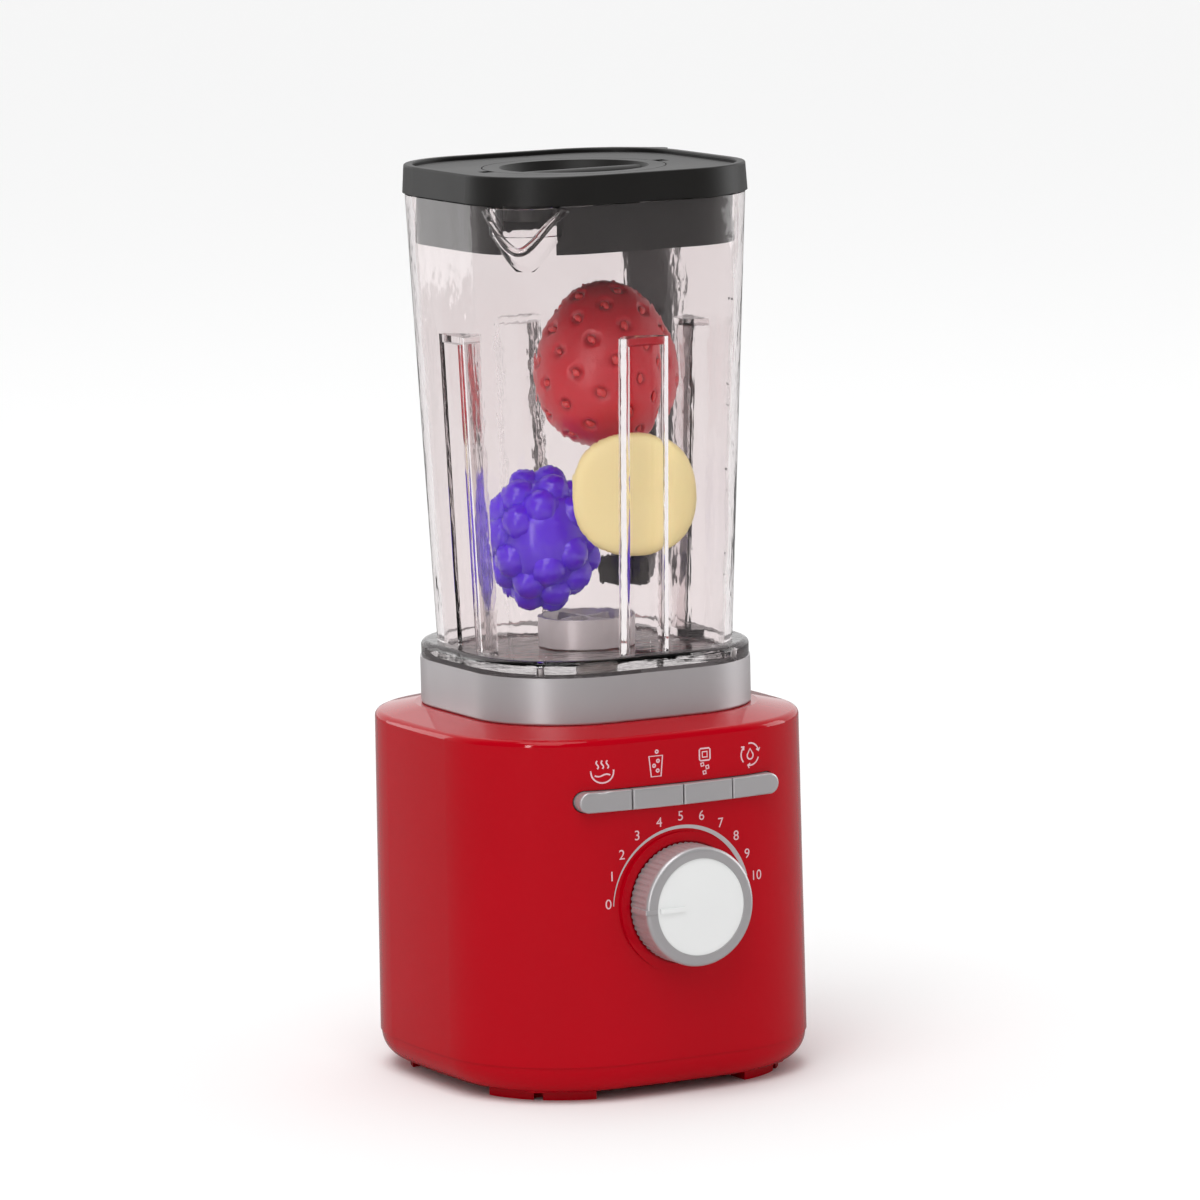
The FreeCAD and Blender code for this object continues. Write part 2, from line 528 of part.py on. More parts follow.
# Drive train: motor, pinion, gear, shaft and the dog coupler under the jar
def gear_outline(teeth, gear_module, turn):
    """Involute gear outline with a tooth centred on the angle turn."""
    pressure = math.radians(value(size("pressure_angle")))
    pitch = teeth * gear_module / 2
    base = pitch * math.cos(pressure)
    tip, root = pitch + gear_module, pitch - 1.25 * gear_module
    half_tooth = math.pi / 2 / teeth - value(size("backlash")) / 2 / pitch
    flank_turn = half_tooth + math.tan(pressure) - pressure

    def flank(radius, side):
        """Point of the flank on one side of the tooth at a radius."""
        roll = math.acos(min(1.0, base / radius))
        angle = flank_turn - (math.tan(roll) - roll)
        return side * angle, radius

    def point(centre, polar):
        return Vector(polar[1] * math.cos(centre + polar[0]),
                      polar[1] * math.sin(centre + polar[0]), 0)

    low = max(base, root)
    edges = []
    pitch_angle = 2 * math.pi / teeth
    for number in range(teeth):
        centre = turn + number * pitch_angle
        right = [point(centre, flank(radius, -1)) for radius in (low, (low + tip) / 2, tip)]
        left = [point(centre, flank(radius, 1)) for radius in (tip, (low + tip) / 2, low)]
        foot_right = point(centre, (flank(low, -1)[0], root))
        foot_left = point(centre, (flank(low, 1)[0], root))
        next_foot = point(centre + pitch_angle, (flank(low, -1)[0], root))
        gap_middle = point(centre, (pitch_angle / 2, root))
        if low > root:
            edges.append(Part.LineSegment(foot_right, right[0]).toShape())
        edges.append(Part.Arc(*right).toShape())
        edges.append(Part.Arc(right[2], point(centre, (0, tip)), left[0]).toShape())
        edges.append(Part.Arc(*left).toShape())
        if low > root:
            edges.append(Part.LineSegment(left[2], foot_left).toShape())
        edges.append(Part.Arc(foot_left, gap_middle, next_foot).toShape())
    return Part.Face(Part.Wire(edges))


def gear(label, teeth_alias, bore, turn, x, y, z):
    """Spur gear with a hub and a plain bore."""
    teeth = int(value(size(teeth_alias)))
    width = value(size("gear_width"))
    rim = gear_outline(teeth, value(size("gear_module")), turn).extrude(Vector(0, 0, width))
    hub_radius = min(value(size("hub_radius")), value(size("gear_module")) * teeth / 2 - 2.2)
    hub = Part.makeCylinder(hub_radius, width + 1.5, Vector(0, 0, 0))
    hole = Part.makeCylinder(bore, width + 4, Vector(0, 0, -1))
    feature = doc.addObject("Part::Feature", label)
    feature.Label = label
    feature.Shape = rim.fuse(hub).cut(hole).removeSplitter()
    feature.Placement = Placement(Vector(x, y, z), Rotation())
    return feature


def drive_gear():
    return gear("drive_gear", "gear_teeth", value(size("shaft_radius")), math.pi / 2, 0, 0,
                value(size("gear_level")))


def motor_pinion():
    half_pitch = math.pi / value(size("pinion_teeth"))
    return gear("motor_pinion", "pinion_teeth", value(size("motor_shaft")),
                -math.pi / 2 + half_pitch, 0, value(MOTOR_REACH), value(size("gear_level")))


PLATE_UNDER = "(%s - Sizes.plate_thick)" % PLATE_TOP
COUPLER_LEVEL = "(%s + Sizes.bush_flange_height + Sizes.coupler_gap)" % SEAT
DOG_TOP = "(%s + Sizes.dog_plate + Sizes.dog_gap + Sizes.dog_height)" % COUPLER_LEVEL
DRIVEN_LEVEL = "(%s + Sizes.dog_gap)" % DOG_TOP


def drive_shaft():
    low = "(%s - 1.5)" % PLATE_UNDER
    piece = Piece("drive_shaft", z=low)
    piece.extrude("Rod", disc(size("shaft_radius")), "0",
                  "(%s + Sizes.dog_plate - %s)" % (COUPLER_LEVEL, low))
    return piece


def motor_shaft():
    piece = Piece("motor_shaft", y=MOTOR_REACH, z="(%s - 3)" % PLATE_UNDER)
    piece.extrude("Rod", disc(size("motor_shaft")), "0",
                  "(Sizes.gear_level + Sizes.gear_width - %s + 3)" % PLATE_UNDER)
    return piece


def motor_body():
    piece = Piece("motor_body", y=MOTOR_REACH, z="(%s - Sizes.motor_length)" % PLATE_UNDER)
    piece.extrude("Can", disc(size("motor_radius")), "0", size("motor_length"))
    piece.fillet("CanEdge", "1.2", level_edges("0"))
    piece.cut("FlatLeft", block("5", size("motor_radius"), "(Sizes.motor_radius + 3)", "0"),
              "0", size("motor_length"))
    piece.cut("FlatRight", block("5", size("motor_radius"), "(-1 * (Sizes.motor_radius + 3))",
                                 "0"), "0", size("motor_length"))
    piece.extrude("Nose", disc("3"), size("motor_length"), "(Sizes.plate_thick - 0.4)")
    piece.cut("ShaftBore", disc("(Sizes.motor_shaft + Sizes.shaft_clearance)"),
              "(Sizes.motor_length - 6)", "12")
    return piece


def gear_plate():
    piece = Piece("gear_plate", z=PLATE_UNDER)
    wide = "(Sizes.post_reach + 8 + Sizes.post_radius + 1)"
    narrow = "(Sizes.post_reach + 3 + Sizes.post_radius + 1)"
    low = "(-1 * (Sizes.post_reach + Sizes.post_radius + 1))"
    high = "(%s + Sizes.post_reach + Sizes.post_radius + 1)" % MOTOR_REACH
    piece.extrude("Plate", polygon(("-" + wide, low), (wide, low), (narrow, high),
                                   ("-" + narrow, high)), "0", size("plate_thick"))
    piece.fillet("PlateCorners", "3.5", lambda edge: len(edge.Vertexes) == 2
                 and abs(edge.Vertexes[0].Z - edge.Vertexes[1].Z) > 1)
    piece.cut("ShaftHole", disc("(Sizes.shaft_radius + Sizes.shaft_clearance)"), "0",
              size("plate_thick"))
    piece.cut("NoseHole", disc("3.1", "0", MOTOR_REACH), "0", size("plate_thick"))
    for number, (x, y) in enumerate(POSTS):
        piece.cut("ScrewHole%d" % number,
                  disc("(Sizes.screw_radius + Sizes.screw_clearance)", x, y), "0",
                  size("plate_thick"))
    return piece


def gear_plate_screws():
    level = value(PLATE_UNDER)
    length = value("Sizes.plate_thick + 7")
    return group("gear_plate_screws", [screw(Vector(value(x), value(y), level), length,
                                             Vector(0, 0, 1)) for x, y in POSTS])


def drive_bush():
    under = "(%s - Sizes.roof - %s)" % (EDGE, SEAT)
    piece = Piece("drive_bush", z=SEAT)
    bore = "(Sizes.shaft_radius + Sizes.shaft_clearance)"
    piece.revolve("Sleeve", ((bore, under), ("Sizes.bush_radius", under),
                             ("Sizes.bush_radius", "0"), ("Sizes.bush_flange", "0"),
                             ("Sizes.bush_flange", "Sizes.bush_flange_height"),
                             (bore, "Sizes.bush_flange_height")))
    return piece


def dog(inner, outer, half_angle, start, length, label, piece):
    """Ring segment that drives its twin on the other coupler."""
    turn = math.radians(half_angle)
    centre = Vector(0, 0, 0)
    up = Vector(0, 0, 1)

    def draw(sketch):
        places = []
        for radius, first, last in ((outer, -turn, turn), (inner, -turn, turn)):
            circle = Part.Circle(centre, up, value(radius))
            places.append(sketch.addGeometry(Part.ArcOfCircle(circle, first, last), False))
            sketch.addConstraint(Sketcher.Constraint("Coincident", places[-1], 3, -1, 1))
            radius_rule(sketch, places[-1], radius)
        for end in (1, 2):
            side = -1 if end == 1 else 1
            sine, cosine = math.sin(side * turn), math.cos(turn)
            line = Part.LineSegment(Vector(value(inner) * cosine, value(inner) * sine, 0),
                                    Vector(value(outer) * cosine, value(outer) * sine, 0))
            index = sketch.addGeometry(line, False)
            sketch.addConstraint(Sketcher.Constraint("Coincident", index, 1, places[1], end))
            sketch.addConstraint(Sketcher.Constraint("Coincident", index, 2, places[0], end))
            for point, radius in ((1, inner), (2, outer)):
                rule = Sketcher.Constraint("DistanceY", -1, 1, index, point,
                                           value(radius) * sine)
                number = sketch.addConstraint(rule)
                sketch.setExpression("Constraints[%d]" % number, "%d * %s * sin(%s / 2)"
                                     % (side, radius, size("dog_angle")))
    first = piece.extrude(label, draw, start, length)
    return piece.around(label + "Ring", [first], "3")


def drive_coupler():
    piece = Piece("drive_coupler", z=COUPLER_LEVEL)
    piece.extrude("Plate", disc(size("dog_radius")), "0", size("dog_plate"))
    piece.extrude("Hub", disc(size("hub_radius")), "0",
                  "(Sizes.dog_plate + Sizes.dog_height - 0.6)")
    piece.cut("Bore", disc(size("shaft_radius")), "0", size("dog_plate"))
    dog(size("dog_inner"), size("dog_radius"), value(size("dog_angle")) / 2, "0",
        "(Sizes.dog_plate + Sizes.dog_height)", "Dog", piece)
    return piece


def driven_coupler():
    piece = Piece("driven_coupler", z=DRIVEN_LEVEL, turn=Rotation(Vector(0, 0, 1), 60))
    hub_low = "0"
    piece.extrude("Plate", disc(size("dog_radius")), hub_low, size("dog_plate"))
    piece.cut("Bore", disc(size("blade_shaft")), "0", size("dog_plate"))
    dog(size("dog_inner"), size("dog_radius"), value(size("dog_angle")) / 2,
        "-1 * Sizes.dog_height", "(Sizes.dog_height + Sizes.dog_plate)", "Dog", piece)
    return piece


# Panel pieces behind the front face
def switch_board():
    piece = Piece("switch_board")
    low = "(Sizes.bar_level - Sizes.board_drop)"
    high = "(Sizes.bar_level + Sizes.board_rise)"
    half = size("board_half")
    behind = "(%s - Sizes.board_thick)" % BOARD_FACE
    piece.extrude("Board", polygon(("-" + half, low), (half, low), (half, high),
                                   ("-" + half, high)), behind, size("board_thick"),
                  "XZ_Plane")
    for number, (x, z) in enumerate(BOARD_POSTS):
        piece.cut("Hole%d" % number, disc("(Sizes.screw_radius + Sizes.screw_clearance)", x, z),
                  behind, size("board_thick"), "XZ_Plane")
    return piece


def board_screws():
    behind = value("%s - Sizes.board_thick" % BOARD_FACE)
    length = value("Sizes.board_thick + (%s - %s) - 1.5" % (POST_ROOT, BOARD_FACE))
    return group("board_screws", [screw(Vector(value(x), -behind, value(z)), length,
                                        Vector(0, -1, 0)) for x, z in BOARD_POSTS])


def button_pitch():
    """Width of one button with its share of the split."""
    return value("Sizes.bar_half_length / 2")


def tact_switches():
    shapes = []
    side, face = value(size("switch_side")), value(BOARD_FACE)
    depth = value(size("switch_height"))
    for number in range(4):
        x = (number - 1.5) * button_pitch()
        box = Part.makeBox(side, depth, side)
        box.translate(Vector(x - side / 2, -face - depth, value(size("bar_level")) - side / 2))
        plunger = Part.makeCylinder(value(size("plunger_radius")),
                                    value(size("plunger_height")),
                                    Vector(x, -face - depth, value(size("bar_level"))),
                                    Vector(0, -1, 0))
        shapes.append(box.fuse(plunger))
    return group("tact_switches", shapes)


def rotary_switch():
    piece = Piece("rotary_switch", y="-1 * %s" % BOARD_FACE, z=size("knob_level"),
                  turn=FACE_FRONT)
    half = "(Sizes.rotary_side / 2)"
    piece.extrude("Case", block(half, half), "0", ROTARY_DEPTH)
    piece.fillet("CaseEdges", "2", lambda edge: len(edge.Vertexes) == 2
                 and abs(edge.Vertexes[0].Z - edge.Vertexes[1].Z) > 1)
    piece.extrude("Neck", disc(size("neck_radius")), ROTARY_DEPTH,
                  "(Sizes.shell_wall + Sizes.neck_height)")
    piece.cut("Socket", disc("(Sizes.spindle_radius + Sizes.shaft_clearance)"), "1.5",
              "(%s + Sizes.shell_wall + Sizes.neck_height)" % ROTARY_DEPTH)
    return piece


ROTARY_DEPTH = "(%s - Sizes.shell_wall - %s - 0.3)" % (KNOB_SKIN, BOARD_FACE)


def button(number):
    """Key of the button bar, with a retaining flange behind the front wall."""
    piece = Piece(BUTTON_NAMES[number], z=size("bar_level"))
    length = "(Sizes.bar_half_length / 2)"
    left = "(%d * %s + Sizes.button_split / 2)" % (number - 2, length)
    right = "(%d * %s - Sizes.button_split / 2)" % (number - 1, length)
    half_height = "(Sizes.bar_height / 2)"
    front = "(%s + Sizes.bar_out - %s)" % (BAR_SKIN, FLANGE_BACK)
    outer_left = number == 0
    outer_right = number == 3
    cap_left = "(%s + %s)" % (left, half_height) if outer_left else left
    cap_right = "(%s - %s)" % (right, half_height) if outer_right else right
    tall = "(Sizes.bar_height / 2 + Sizes.bar_gap + Sizes.flange_lip)"
    lip_left = "(%s - Sizes.flange_lip)" % left if outer_left else left
    lip_right = "(%s + Sizes.flange_lip)" % right if outer_right else right
    low, whole = "-2 * Sizes.bar_height", "4 * Sizes.bar_height"
    piece.extrude("Flange", polygon((lip_left, "-" + tall), (lip_right, "-" + tall),
                                    (lip_right, tall), (lip_left, tall)),
                  FLANGE_BACK, "(%s - %s)" % (FLANGE_FACE, FLANGE_BACK), "XZ_Plane")
    piece.cut("FlangeBow", bow_ring(size("flange_bow"), FLANGE_FACE, "12"), low, whole)
    piece.extrude("Key", polygon((cap_left, "-" + half_height), (cap_right, "-" + half_height),
                                 (cap_right, half_height), (cap_left, half_height)),
                  FLANGE_BACK, front, "XZ_Plane")
    if outer_left or outer_right:
        end = cap_left if outer_left else cap_right
        piece.extrude("RoundEnd", disc(half_height, end, "0"), FLANGE_BACK, front, "XZ_Plane")
    piece.cut("FrontBow", bow_ring(size("bar_bow"), "(%s + Sizes.bar_out)" % BAR_SKIN, "9"),
              low, whole)
    bow = value(size("bar_bow"))
    centre_y = bow - value("%s + Sizes.bar_out" % BAR_SKIN)
    piece.fillet("KeyEdge", size("button_edge"), lambda edge: all(
        abs(math.hypot(vertex.X, vertex.Y - centre_y) - bow) < 0.01
        for vertex in edge.Vertexes))
    return piece


def bow_ring(bow, reach, width):
    """Drawing of the ring outside an arc that bows the front of a key."""
    centre = "(%s - %s)" % (bow, reach)
    return several(disc("(%s + %s)" % (bow, width), "0", centre), disc(bow, "0", centre))


# Speed knob: knurled shell, pale dial with its pointer, and the spindle
def speed_knob():
    piece = Piece("speed_knob", y="-1 * %s" % KNOB_SKIN, z=size("knob_level"), turn=FACE_FRONT)
    skirt = "(Sizes.knob_radius - Sizes.knob_wall)"
    web = "(Sizes.knob_depth - Sizes.dial_recess - Sizes.knob_wall)"
    hub = "(Sizes.spindle_radius + 3)"
    floor = "(Sizes.knob_depth - Sizes.dial_recess)"
    piece.revolve("Shell", (
        ("Sizes.spindle_radius", size("knob_gap")), (hub, size("knob_gap")), (hub, web),
        (skirt, web), (skirt, size("knob_gap")), ("Sizes.knob_radius", size("knob_gap")),
        ("Sizes.knob_radius", "Sizes.knob_depth"), ("Sizes.dial_radius", "Sizes.knob_depth"),
        ("Sizes.dial_radius", floor), ("0", floor), ("0", web), ("Sizes.spindle_radius", web)))
    piece.fillet("FrontRound", size("knob_round"), lambda edge: len(edge.Vertexes) == 1
                 and abs(edge.Vertexes[0].Z - value("Sizes.knob_depth")) < 0.01
                 and abs(edge.Curve.Radius - value("Sizes.knob_radius")) < 0.01)
    groove = piece.cut("Knurl", disc("0.8", "(Sizes.knob_radius + 0.8 - Sizes.knurl_depth)"),
                       size("knob_gap"), "(Sizes.knob_depth - Sizes.knob_gap - 2.4)")
    piece.around("Knurls", [groove], size("knurl_count"))
    return piece


def knob_disc():
    floor = "(Sizes.knob_depth - Sizes.dial_recess)"
    piece = Piece("knob_disc", y="-1 * (%s + %s)" % (KNOB_SKIN, floor), z=size("knob_level"),
                  turn=FACE_FRONT)
    radius = "(Sizes.dial_radius - Sizes.dial_gap)"
    piece.extrude("Disc", disc(radius), "0", size("dial_thick"))
    middle = "(-1 * (%s - Sizes.pointer_length / 2 - 1))" % radius
    piece.extrude("Pointer", block("(Sizes.pointer_length / 2)", "(Sizes.pointer_width / 2)",
                                   middle, "0"), "0",
                  "(Sizes.dial_thick + Sizes.pointer_height)")
    return piece


def knob_spindle():
    web = "(Sizes.knob_depth - Sizes.dial_recess - Sizes.knob_wall)"
    low = "(%s - %s - 2)" % (KNOB_SKIN, BOARD_FACE)
    piece = Piece("knob_spindle", y="-1 * %s" % KNOB_SKIN, z=size("knob_level"),
                  turn=FACE_FRONT)
    piece.extrude("Rod", disc(size("spindle_radius")), "-1 * %s" % low, "(%s + %s)" % (low, web))
    return piece


# Jar: clear vessel with four flutes and a spout, its collar, and the rotor in its floor
def jar_drawing(level, wall):
    """Outline of the jar at a height, inside by wall."""
    share = "((%s - %s) / Sizes.jar_height)" % (level, JAR_FOOT)
    half = "(Sizes.jar_foot_half + (Sizes.jar_rim_half - Sizes.jar_foot_half) * %s - %s)"
    corner = "(Sizes.jar_foot_corner + (Sizes.jar_rim_corner - Sizes.jar_foot_corner) * %s - %s)"
    return soft_square(half % (share, wall), corner % (share, wall), size("jar_bow"))


SPOUT_TURN = Rotation(Vector(0, 0, 1), 225)


def spout_sections(inside):
    """Three circles of the pouring lip on the corner diagonal, inside by a wall or not."""
    thin = "Sizes.spout_wall" if inside else "0"
    lip_low = "(%s - Sizes.spout_lip)" % JAR_RIM
    top = "(%s + 1)" % JAR_RIM if inside else JAR_RIM
    root = "(%s - Sizes.spout_rise)" % JAR_RIM
    return (root, disc("(Sizes.spout_root - %s / 2)" % thin,
                       "(Sizes.spout_root_reach - %s)" % thin, "0")), \
        (lip_low, disc("(Sizes.spout_radius - 0.6 - %s)" % thin, size("spout_reach"), "0")), \
        (top, disc("(Sizes.spout_radius - %s)" % thin, size("spout_reach"), "0"))


def jar_vessel():
    piece = Piece("jar_vessel")
    piece.extrude("Flange", soft_square(size("flange_half"), size("collar_corner"),
                                        size("jar_bow")), FLANGE, size("flange_height"))
    piece.fillet("FlangeRound", size("flange_round"), level_edges(JAR_FOOT))
    piece.loft("Wall", [(JAR_FOOT, jar_drawing(JAR_FOOT, "0")),
                        (JAR_RIM, jar_drawing(JAR_RIM, "0"))])
    low, mid, top = spout_sections(False)
    piece.loft("SpoutFlare", [low, mid], turn=SPOUT_TURN)
    piece.loft("SpoutLip", [mid, top], turn=SPOUT_TURN)
    piece.loft("Room", [(JAR_FLOOR, jar_drawing(JAR_FLOOR, size("jar_wall"))),
                        (JAR_RIM, jar_drawing(JAR_RIM, size("jar_wall")))], cut=True)
    low, mid, top = spout_sections(True)
    piece.loft("SpoutRoom", [low, mid], cut=True, turn=SPOUT_TURN)
    piece.loft("SpoutMouth", [mid, top], cut=True, turn=SPOUT_TURN)
    rib_top = "(%s + Sizes.rib_top)" % JAR_FOOT
    rib = piece.loft("Rib", [(JAR_FLOOR, half_disc(size("rib_radius"), rib_reach(JAR_FLOOR))),
                             (rib_top, half_disc(size("rib_radius"), rib_reach(rib_top)))])
    piece.around("Ribs", [rib], "4")
    flute_top = "(%s - Sizes.jar_wall)" % rib_top
    flute = piece.loft("Flute", [(JAR_FOOT, disc(size("flute_radius"), rib_reach(JAR_FOOT))),
                                 (flute_top, disc(size("flute_radius"), rib_reach(flute_top)))],
                       cut=True)
    piece.around("Flutes", [flute], "4")
    piece.cut("BushHole", disc(size("jar_bush")), FLANGE, size("jar_floor"))
    for number, (sx, sy) in enumerate(CORNERS):
        x, y = jar_screw_place(sx, sy)
        piece.cut("ScrewHole%d" % number,
                  disc("(Sizes.screw_radius + Sizes.thread_clearance)", x, y), FLANGE,
                  "(Sizes.jar_floor - 0.6)")
    return piece


def rib_reach(level):
    """Distance from the axis to the middle of a rib's round at a height."""
    share = "((%s - %s) / Sizes.jar_height)" % (level, JAR_FOOT)
    half = "(Sizes.jar_foot_half + (Sizes.jar_rim_half - Sizes.jar_foot_half) * %s)" % share
    return "(%s - Sizes.jar_wall - Sizes.rib_depth + Sizes.rib_radius)" % half


def half_disc(radius, x):
    """Drawing of a half circle that bulges towards the axis, closed by a line."""
    def draw(sketch):
        centre, reach = Vector(value(x), 0, 0), value(radius)
        circle = Part.Circle(centre, Vector(0, 0, 1), reach)
        sketch.addGeometry(Part.ArcOfCircle(circle, math.pi / 2, 3 * math.pi / 2), False)
        sketch.addGeometry(Part.LineSegment(centre - Vector(0, reach, 0),
                                            centre + Vector(0, reach, 0)), False)
        sketch.addConstraint(Sketcher.Constraint("Coincident", 0, 2, 1, 1))
        sketch.addConstraint(Sketcher.Constraint("Coincident", 1, 2, 0, 1))
        sketch.addConstraint(Sketcher.Constraint("Vertical", 1))
        sketch.addConstraint(Sketcher.Constraint("PointOnObject", 0, 3, 1))
        pin(sketch, 0, 3, x, "0")
        radius_rule(sketch, 0, radius)
    return draw


def jar_screw_place(sign_x, sign_y):
    """Place of one collar screw, on a diagonal of the collar."""
    reach = "(Sizes.screw_ring * 0.9)"
    return signed(sign_x, reach), signed(sign_y, reach)


def jar_collar():
    piece = Piece("jar_collar", z=SEAT)
    inner = "(Sizes.collar_half - Sizes.collar_wall)"
    inner_corner = "(Sizes.collar_corner - Sizes.collar_wall)"
    piece.extrude("Ring", soft_square(size("collar_half"), size("collar_corner"),
                                      size("jar_bow")), "0", size("collar_height"))
    piece.fillet("LowEdge", "0.8", level_edges("0"))
    piece.cut("RingRoom", soft_square(inner, inner_corner, size("jar_bow")), "0",
              "(Sizes.collar_height - Sizes.collar_shelf)")
    piece.cut("ShelfRoom", soft_square("(%s - Sizes.shelf_width)" % inner,
                                       "(%s - Sizes.shelf_width)" % inner_corner,
                                       size("jar_bow")), "0", size("collar_height"))
    for number, (sx, sy) in enumerate(CORNERS):
        x, y = jar_screw_place(sx, sy)
        piece.cut("ScrewHole%d" % number,
                  disc("(Sizes.screw_radius + Sizes.screw_clearance)", x, y), "0",
                  size("collar_height"))
    return piece


def collar_screws():
    level = value("%s - Sizes.collar_shelf" % FLANGE)
    length = value("Sizes.collar_shelf + Sizes.jar_floor - 0.9")
    places = [jar_screw_place(sx, sy) for sx, sy in CORNERS]
    return group("collar_screws", [screw(Vector(value(x), value(y), level), length,
                                         Vector(0, 0, 1)) for x, y in places])


def jar_bush():
    piece = Piece("jar_bush", z=FLANGE)
    bore = "(Sizes.blade_shaft + Sizes.shaft_clearance)"
    piece.revolve("Sleeve", ((bore, "-1.2"), ("(Sizes.jar_bush + 2)", "-1.2"),
                             ("(Sizes.jar_bush + 2)", "0"), ("Sizes.jar_bush", "0"),
                             ("Sizes.jar_bush", "Sizes.jar_floor"), (bore, "Sizes.jar_floor")))
    return piece


def blade_shaft():
    low = DRIVEN_LEVEL
    piece = Piece("blade_shaft", z=low)
    piece.extrude("Rod", disc(size("blade_shaft")), "0",
                  "(%s - Sizes.rotor_dish - 1.6 - %s)" % (ROTOR_TOP, low))
    return piece


def blade_rotor():
    piece = Piece("blade_rotor", z="(%s + Sizes.rotor_gap)" % JAR_FLOOR)
    dish = "(Sizes.rotor_height - Sizes.rotor_dish)"
    web = "(%s - 1.6)" % dish
    skirt = "(Sizes.rotor_radius - Sizes.rotor_rim)"
    hub = "(Sizes.blade_shaft + 2.5)"
    piece.revolve("Drum", (
        ("Sizes.blade_shaft", "0"), (hub, "0"), (hub, "(%s - 1)" % web), (skirt, "(%s - 1)" % web),
        (skirt, "0"), ("Sizes.rotor_radius", "0"), ("Sizes.rotor_radius", "Sizes.rotor_height"),
        (skirt, "Sizes.rotor_height"), ("(%s - 1)" % skirt, dish), ("0", dish), ("0", web),
        ("Sizes.blade_shaft", web)))
    vane = piece.extrude("Vane", vane_drawing, "(%s - 0.2)" % dish,
                         "(Sizes.rotor_dish - 0.2)")
    piece.around("Vanes", [vane], "4")
    return piece


def vane_drawing(sketch):
    """Curved vane from the middle of the dish to its rim."""
    reach = "(Sizes.rotor_radius - Sizes.rotor_rim - 1.2)"
    half_width = "(Sizes.vane_width / 2)"
    sweep = size("vane_sweep")
    polygon(("0", "-" + half_width), ("%s * 0.4" % reach, "-" + half_width),
            ("%s * 0.75" % reach, "%s * 0.3" % sweep),
            ("%s * 0.85" % reach, "%s * 0.3 + Sizes.vane_width" % sweep),
            ("%s * 0.4" % reach, half_width), ("0", half_width))(sketch)


def jar_handle():
    piece = Piece("jar_handle", turn=Rotation(Vector(0, 0, 1), 45))
    top = "(%s - Sizes.handle_drop)" % JAR_RIM
    low = "(%s + Sizes.handle_bottom)" % JAR_FOOT
    reach, bend = size("handle_reach"), size("handle_bend")
    root = "(Sizes.jar_foot_half)"
    path = piece.sketch("Path", handle_path(root, reach, low, top, bend), "0", "XZ_Plane")
    half_width = "(Sizes.handle_width / 2)"
    half_thick = "(Sizes.handle_thick / 2)"
    profile = piece.sketch("Grip", block(half_width, half_thick, "0", low), root, "YZ_Plane")
    pipe = piece.body.newObject("PartDesign::AdditivePipe", "GripPipe")
    pipe.Profile = profile
    pipe.Spine = (path, [])
    doc.recompute()
    piece.fillet("GripRound", size("handle_round"), long_edges)
    corner_room = [(level, jar_drawing(level, "0")) for level in (JAR_FOOT, JAR_RIM)]
    piece.loft("JarRoom", corner_room, cut=True, turn=Rotation(Vector(0, 0, 1), -45))
    return piece


def long_edges(edge):
    """Test for the edges that run along the handle, not round its two ends."""
    start, end = edge.Vertexes[0].Point, edge.Vertexes[-1].Point
    root = value("Sizes.jar_foot_half")
    return not (abs(start.x - root) < 0.01 and abs(end.x - root) < 0.01)


def handle_path(root, reach, low, top, bend):
    """Drawing of the handle's path: out, up and back, with two tangent bends."""
    def draw(sketch):
        left, right = value(root), value(reach)
        bottom, high, round_off = value(low), value(top), value(bend)
        up = Vector(0, 0, 1)
        sketch.addGeometry(Part.LineSegment(Vector(left, bottom, 0),
                                            Vector(right - round_off, bottom, 0)), False)
        lower = Part.Circle(Vector(right - round_off, bottom + round_off, 0), up, round_off)
        sketch.addGeometry(Part.ArcOfCircle(lower, -math.pi / 2, 0), False)
        sketch.addGeometry(Part.LineSegment(Vector(right, bottom + round_off, 0),
                                            Vector(right, high - round_off, 0)), False)
        upper = Part.Circle(Vector(right - round_off, high - round_off, 0), up, round_off)
        sketch.addGeometry(Part.ArcOfCircle(upper, 0, math.pi / 2), False)
        sketch.addGeometry(Part.LineSegment(Vector(right - round_off, high, 0),
                                            Vector(left, high, 0)), False)
        for number in range(4):
            sketch.addConstraint(Sketcher.Constraint("Tangent", number, 2, number + 1, 1))
        pin(sketch, 0, 1, root, low)
        pin(sketch, 4, 2, root, top)
        pin(sketch, 1, 3, "%s - %s" % (reach, bend), "%s + %s" % (low, bend))
        radius_rule(sketch, 1, bend)
        sketch.addConstraint(Sketcher.Constraint("Equal", 1, 3))
        sketch.addConstraint(Sketcher.Constraint("Vertical", 2))
    return draw


